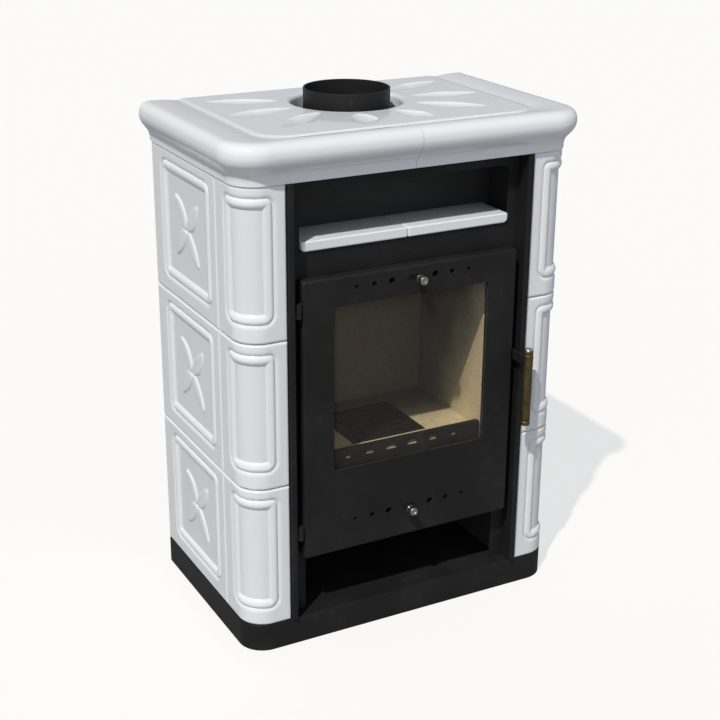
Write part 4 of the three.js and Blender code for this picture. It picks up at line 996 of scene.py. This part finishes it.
def makeLinings():
    # boards with softened edges round the fire, and the baffle that lies on them
    n, gap = lining, lining["joint"]
    outer, lowZ, highZ = n["half"] + n["thickness"], n["bottom"], n["top"]
    reach = outer - baffle["sideGap"]
    boards = {
        "lining_left": ((-outer, n["front"], lowZ), (-n["half"], n["back"] - gap, highZ)),
        "lining_right": ((n["half"], n["front"], lowZ), (outer, n["back"] - gap, highZ)),
        "lining_back": ((-outer, n["back"], lowZ), (outer, n["back"] + n["thickness"], highZ)),
        "baffle": ((-reach, baffle["front"], highZ + gap),
                   (reach, baffle["rear"], highZ + gap + baffle["thickness"])),
    }
    for name, (low, high) in boards.items():
        points, faces = roundedBox(low, high, n["edge"])
        addPiece(f"{name}_board", points, faces, "body", fireBoard, (name,))


def makeRope():
    # a tube carried round the door; its radius rises and falls with two sets of strands that run
    # round it in opposite directions: max(sin(n * turn + lay), sin(n * turn - lay))
    q = rope
    line, normals = outline(-q["half"], q["half"], q["low"], q["high"], q["corner"], steps=10)
    closed = np.vstack([line, line[:1]])
    closedNormals = np.vstack([normals, normals[:1]])
    run = np.concatenate([[0], np.cumsum(np.linalg.norm(np.diff(closed, axis=0), axis=1))])
    s = np.linspace(0, run[-1], q["stations"], endpoint=False)
    line = np.stack([np.interp(s, run, closed[:, k]) for k in (0, 1)], -1)
    normals = np.stack([np.interp(s, run, closedNormals[:, k]) for k in (0, 1)], -1)
    normals /= np.linalg.norm(normals, axis=1, keepdims=True)
    turn = np.linspace(0, 2 * pi, q["sides"], endpoint=False)[None, :]
    lay = 2 * pi * q["lays"] * s[:, None] / run[-1]
    braid = np.maximum(np.sin(q["strands"] * turn + lay), np.sin(q["strands"] * turn - lay))
    reach = q["radius"] - q["inset"] + q["braid"] * braid
    flat = line[:, None] + normals[:, None] * (reach * np.cos(turn))[..., None]
    points = place(flat, q["y"] + reach * np.sin(turn), "y")
    points = np.concatenate([points, points[:1]])
    rows, columns = points.shape[:2]
    addPiece("door_rope_braided", points, [gridFaces(rows, columns, closed=True)], "door",
             knitFibre, ("door_rope",))


def makeGasket():
    # a flat tape round the glass
    outside, inside = (outline(*gasket[key], steps=4) for key in ("outside", "inside"))
    points, faces = plateMesh([(*outside, 0.5), (*inside, 0.3)], gasket["front"],
                              gasket["rear"], "y")
    addPiece("glass_gasket_tape", points, faces, "door", knitFibre, ("glass_gasket",))


makeCollar()
makeGuard()
makeLinings()
makeRope()
makeGasket()
print("stage 8: collar, guard, linings and seals")


# ---- small fasteners ----
rearScrews = {"x": 266, "y": 183, "z": (90, 330, 540, 778), "radius": 4.2, "rise": 1.8}
retainerScrews = {"x": 158.5, "y": -178.6, "z": (330, 460, 590), "radius": 3.2, "rise": 1.4}


def screwSet(places):
    # low domed heads, each with a dimple in its middle, in two mirrored columns
    height = np.array([0, 0, 0.15, 0.6, 0.9, 1.0, 0.75, 0.7]) * places["rise"]
    reach = np.array([0, 1, 1, 0.86, 0.6, 0.34, 0.26, 0.0]) * places["radius"]
    head = np.stack([reach, height], -1)
    return joined(*(lathe(head, (sign * places["x"], places["y"], z), 20, "y")
                    for sign in (-1, 1) for z in places["z"]))


def makeFasteners():
    # the rear shield's screws, and those that hold the glass retainer inside the door
    points, faces = screwSet(rearScrews)
    addPiece("rear_shield_screws", points, faces, "body", blackSteel, ())
    points, faces = screwSet(retainerScrews)
    addPiece("retainer_screws", points, faces, "door", turnedSteel, ())


makeFasteners()
print("stage 9: screws")


# ---- finishes of the solids that keep their shape ----
keptFinishes = (
    (blackSteel, ("front_panel", "cheek_left", "cheek_right", "glass_retainer", "upper_air_plate",
                  "lower_air_plate", "upper_hinge_bracket", "lower_hinge_bracket",
                  "upper_hinge_leaf", "lower_hinge_leaf", "latch_hook", "latch_catch")),
    (sheetSteel, ("base_plate", "front_rail_left", "front_rail_right", "rear_rail_left",
                  "rear_rail_right", "rear_shield", "jacket", "niche_liner", "firebox", "ash_pan",
                  "seal_channel", "upper_air_guide", "lower_air_guide")),
    (fireBoard, ("lining_floor",)),
    (castIron, ("grate",)),
    (stoveGlass, ("window_glass",)),
)
for finish, nodeNames in keptFinishes:
    for nodeName in nodeNames:
        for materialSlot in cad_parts[nodeName].material_slots:
            materialSlot.material = finish
print("stage 10: finishes on the kept solids")


# ---- floor, light and world ----
floorLook = {"seen": "f2f2f2", "bounce": "8a8c8e", "glow": 0.7, "reach": 30.0, "roughness": 0.9,
             "specular": 0.1}
skyLook = {"horizon": 0.98, "horizonTone": "f3f7ff", "zenith": 0.1, "zenithTone": "e0eaf9",
           "fade": 0.8, "mirrored": 0.42}
lamps = {"key": {"azimuth": 39, "elevation": 54, "strength": 2.95, "softness": 1.2,
                 "tone": "fff9f1"},
         "fill": {"azimuth": 75, "elevation": 24, "strength": 0.2, "softness": 80,
                  "tone": "f6faff"}}


def makeStage():
    # the camera sees a nearly white floor that keeps the shadow; other rays get less light back
    look, reach = floorLook, floorLook["reach"]
    mesh = bpy.data.meshes.new("floor")
    mesh.from_pydata([(-reach, -reach, 0), (reach, -reach, 0), (reach, reach, 0),
                      (-reach, reach, 0)], [], [(0, 1, 2, 3)])
    finish = bpy.data.materials.new("paleFloor")
    finish.use_nodes = True
    tree = finish.node_tree
    shader = tree.nodes["Principled BSDF"]
    shader.inputs["Roughness"].default_value = look["roughness"]
    shader.inputs["Specular IOR Level"].default_value = look["specular"]
    seen = Wire(tree).node("LightPath")
    colour = seen.colours(tone(look["bounce"]), tone(look["seen"]))
    tree.links.new(colour.socket, shader.inputs["Base Color"])
    glow = seen.node("Emission", {0: (1, 1, 1, 1), 1: 1.0})
    mixed = seen.node("MixShader", {0: seen * look["glow"], 1: Wire(tree, shader.outputs[0]),
                                    2: glow})
    tree.links.new(mixed.socket, tree.nodes["Material Output"].inputs[0])
    mesh.materials.append(finish)
    floor = bpy.data.objects.new("floor", mesh)
    bpy.context.scene.collection.objects.link(floor)


def makeLamps():
    # a sun, and a weak soft fill from the front; azimuth is the way the light travels
    for name, values in lamps.items():
        az, el = radians(values["azimuth"]), radians(values["elevation"])
        travel = Vector((cos(az) * cos(el), sin(az) * cos(el), -sin(el)))
        lamp = bpy.data.lights.new(name, "SUN")
        lamp.energy = values["strength"]
        lamp.angle = radians(values["softness"])
        lamp.color = tone(values["tone"])[:3]
        holder = bpy.data.objects.new(name, lamp)
        holder.rotation_mode = "QUATERNION"
        holder.rotation_quaternion = travel.to_track_quat("-Z", "Y")
        bpy.context.scene.collection.objects.link(holder)


def makeWorld():
    # the sky fades from a bright horizon to a darker blue above, reflections see an even grey
    # and the camera plain white
    look = skyLook
    world = bpy.data.worlds.new("studio")
    world.use_nodes = True
    tree = world.node_tree
    way = Wire(tree).node("TexCoord")
    rise = way.node("SeparateXYZ", {0: way}, out=2).step(0.0, look["fade"])
    low = way.node("Background", {0: tone(look["horizonTone"]), 1: look["horizon"]})
    high = way.node("Background", {0: tone(look["zenithTone"]), 1: look["zenith"]})
    sky = way.node("MixShader", {0: rise, 1: low, 2: high})
    seen, mirrored, through = (way.node("LightPath", out=k) for k in (0, 3, 6))
    grey = way.node("Background", {0: tone(look["zenithTone"]), 1: look["mirrored"]})
    sky = way.node("MixShader", {0: mirrored, 1: sky, 2: grey})
    white = way.node("Background", {0: (1, 1, 1, 1), 1: 1.0})
    shown = way.math("MAXIMUM", seen, through)
    mixed = way.node("MixShader", {0: shown, 1: sky, 2: white})
    tree.links.new(mixed.socket, tree.nodes["World Output"].inputs[0])
    bpy.context.scene.world = world
    bpy.context.scene.view_settings.view_transform = "Standard"


makeStage()
makeLamps()
makeWorld()
print("stage 11: floor, light and world")
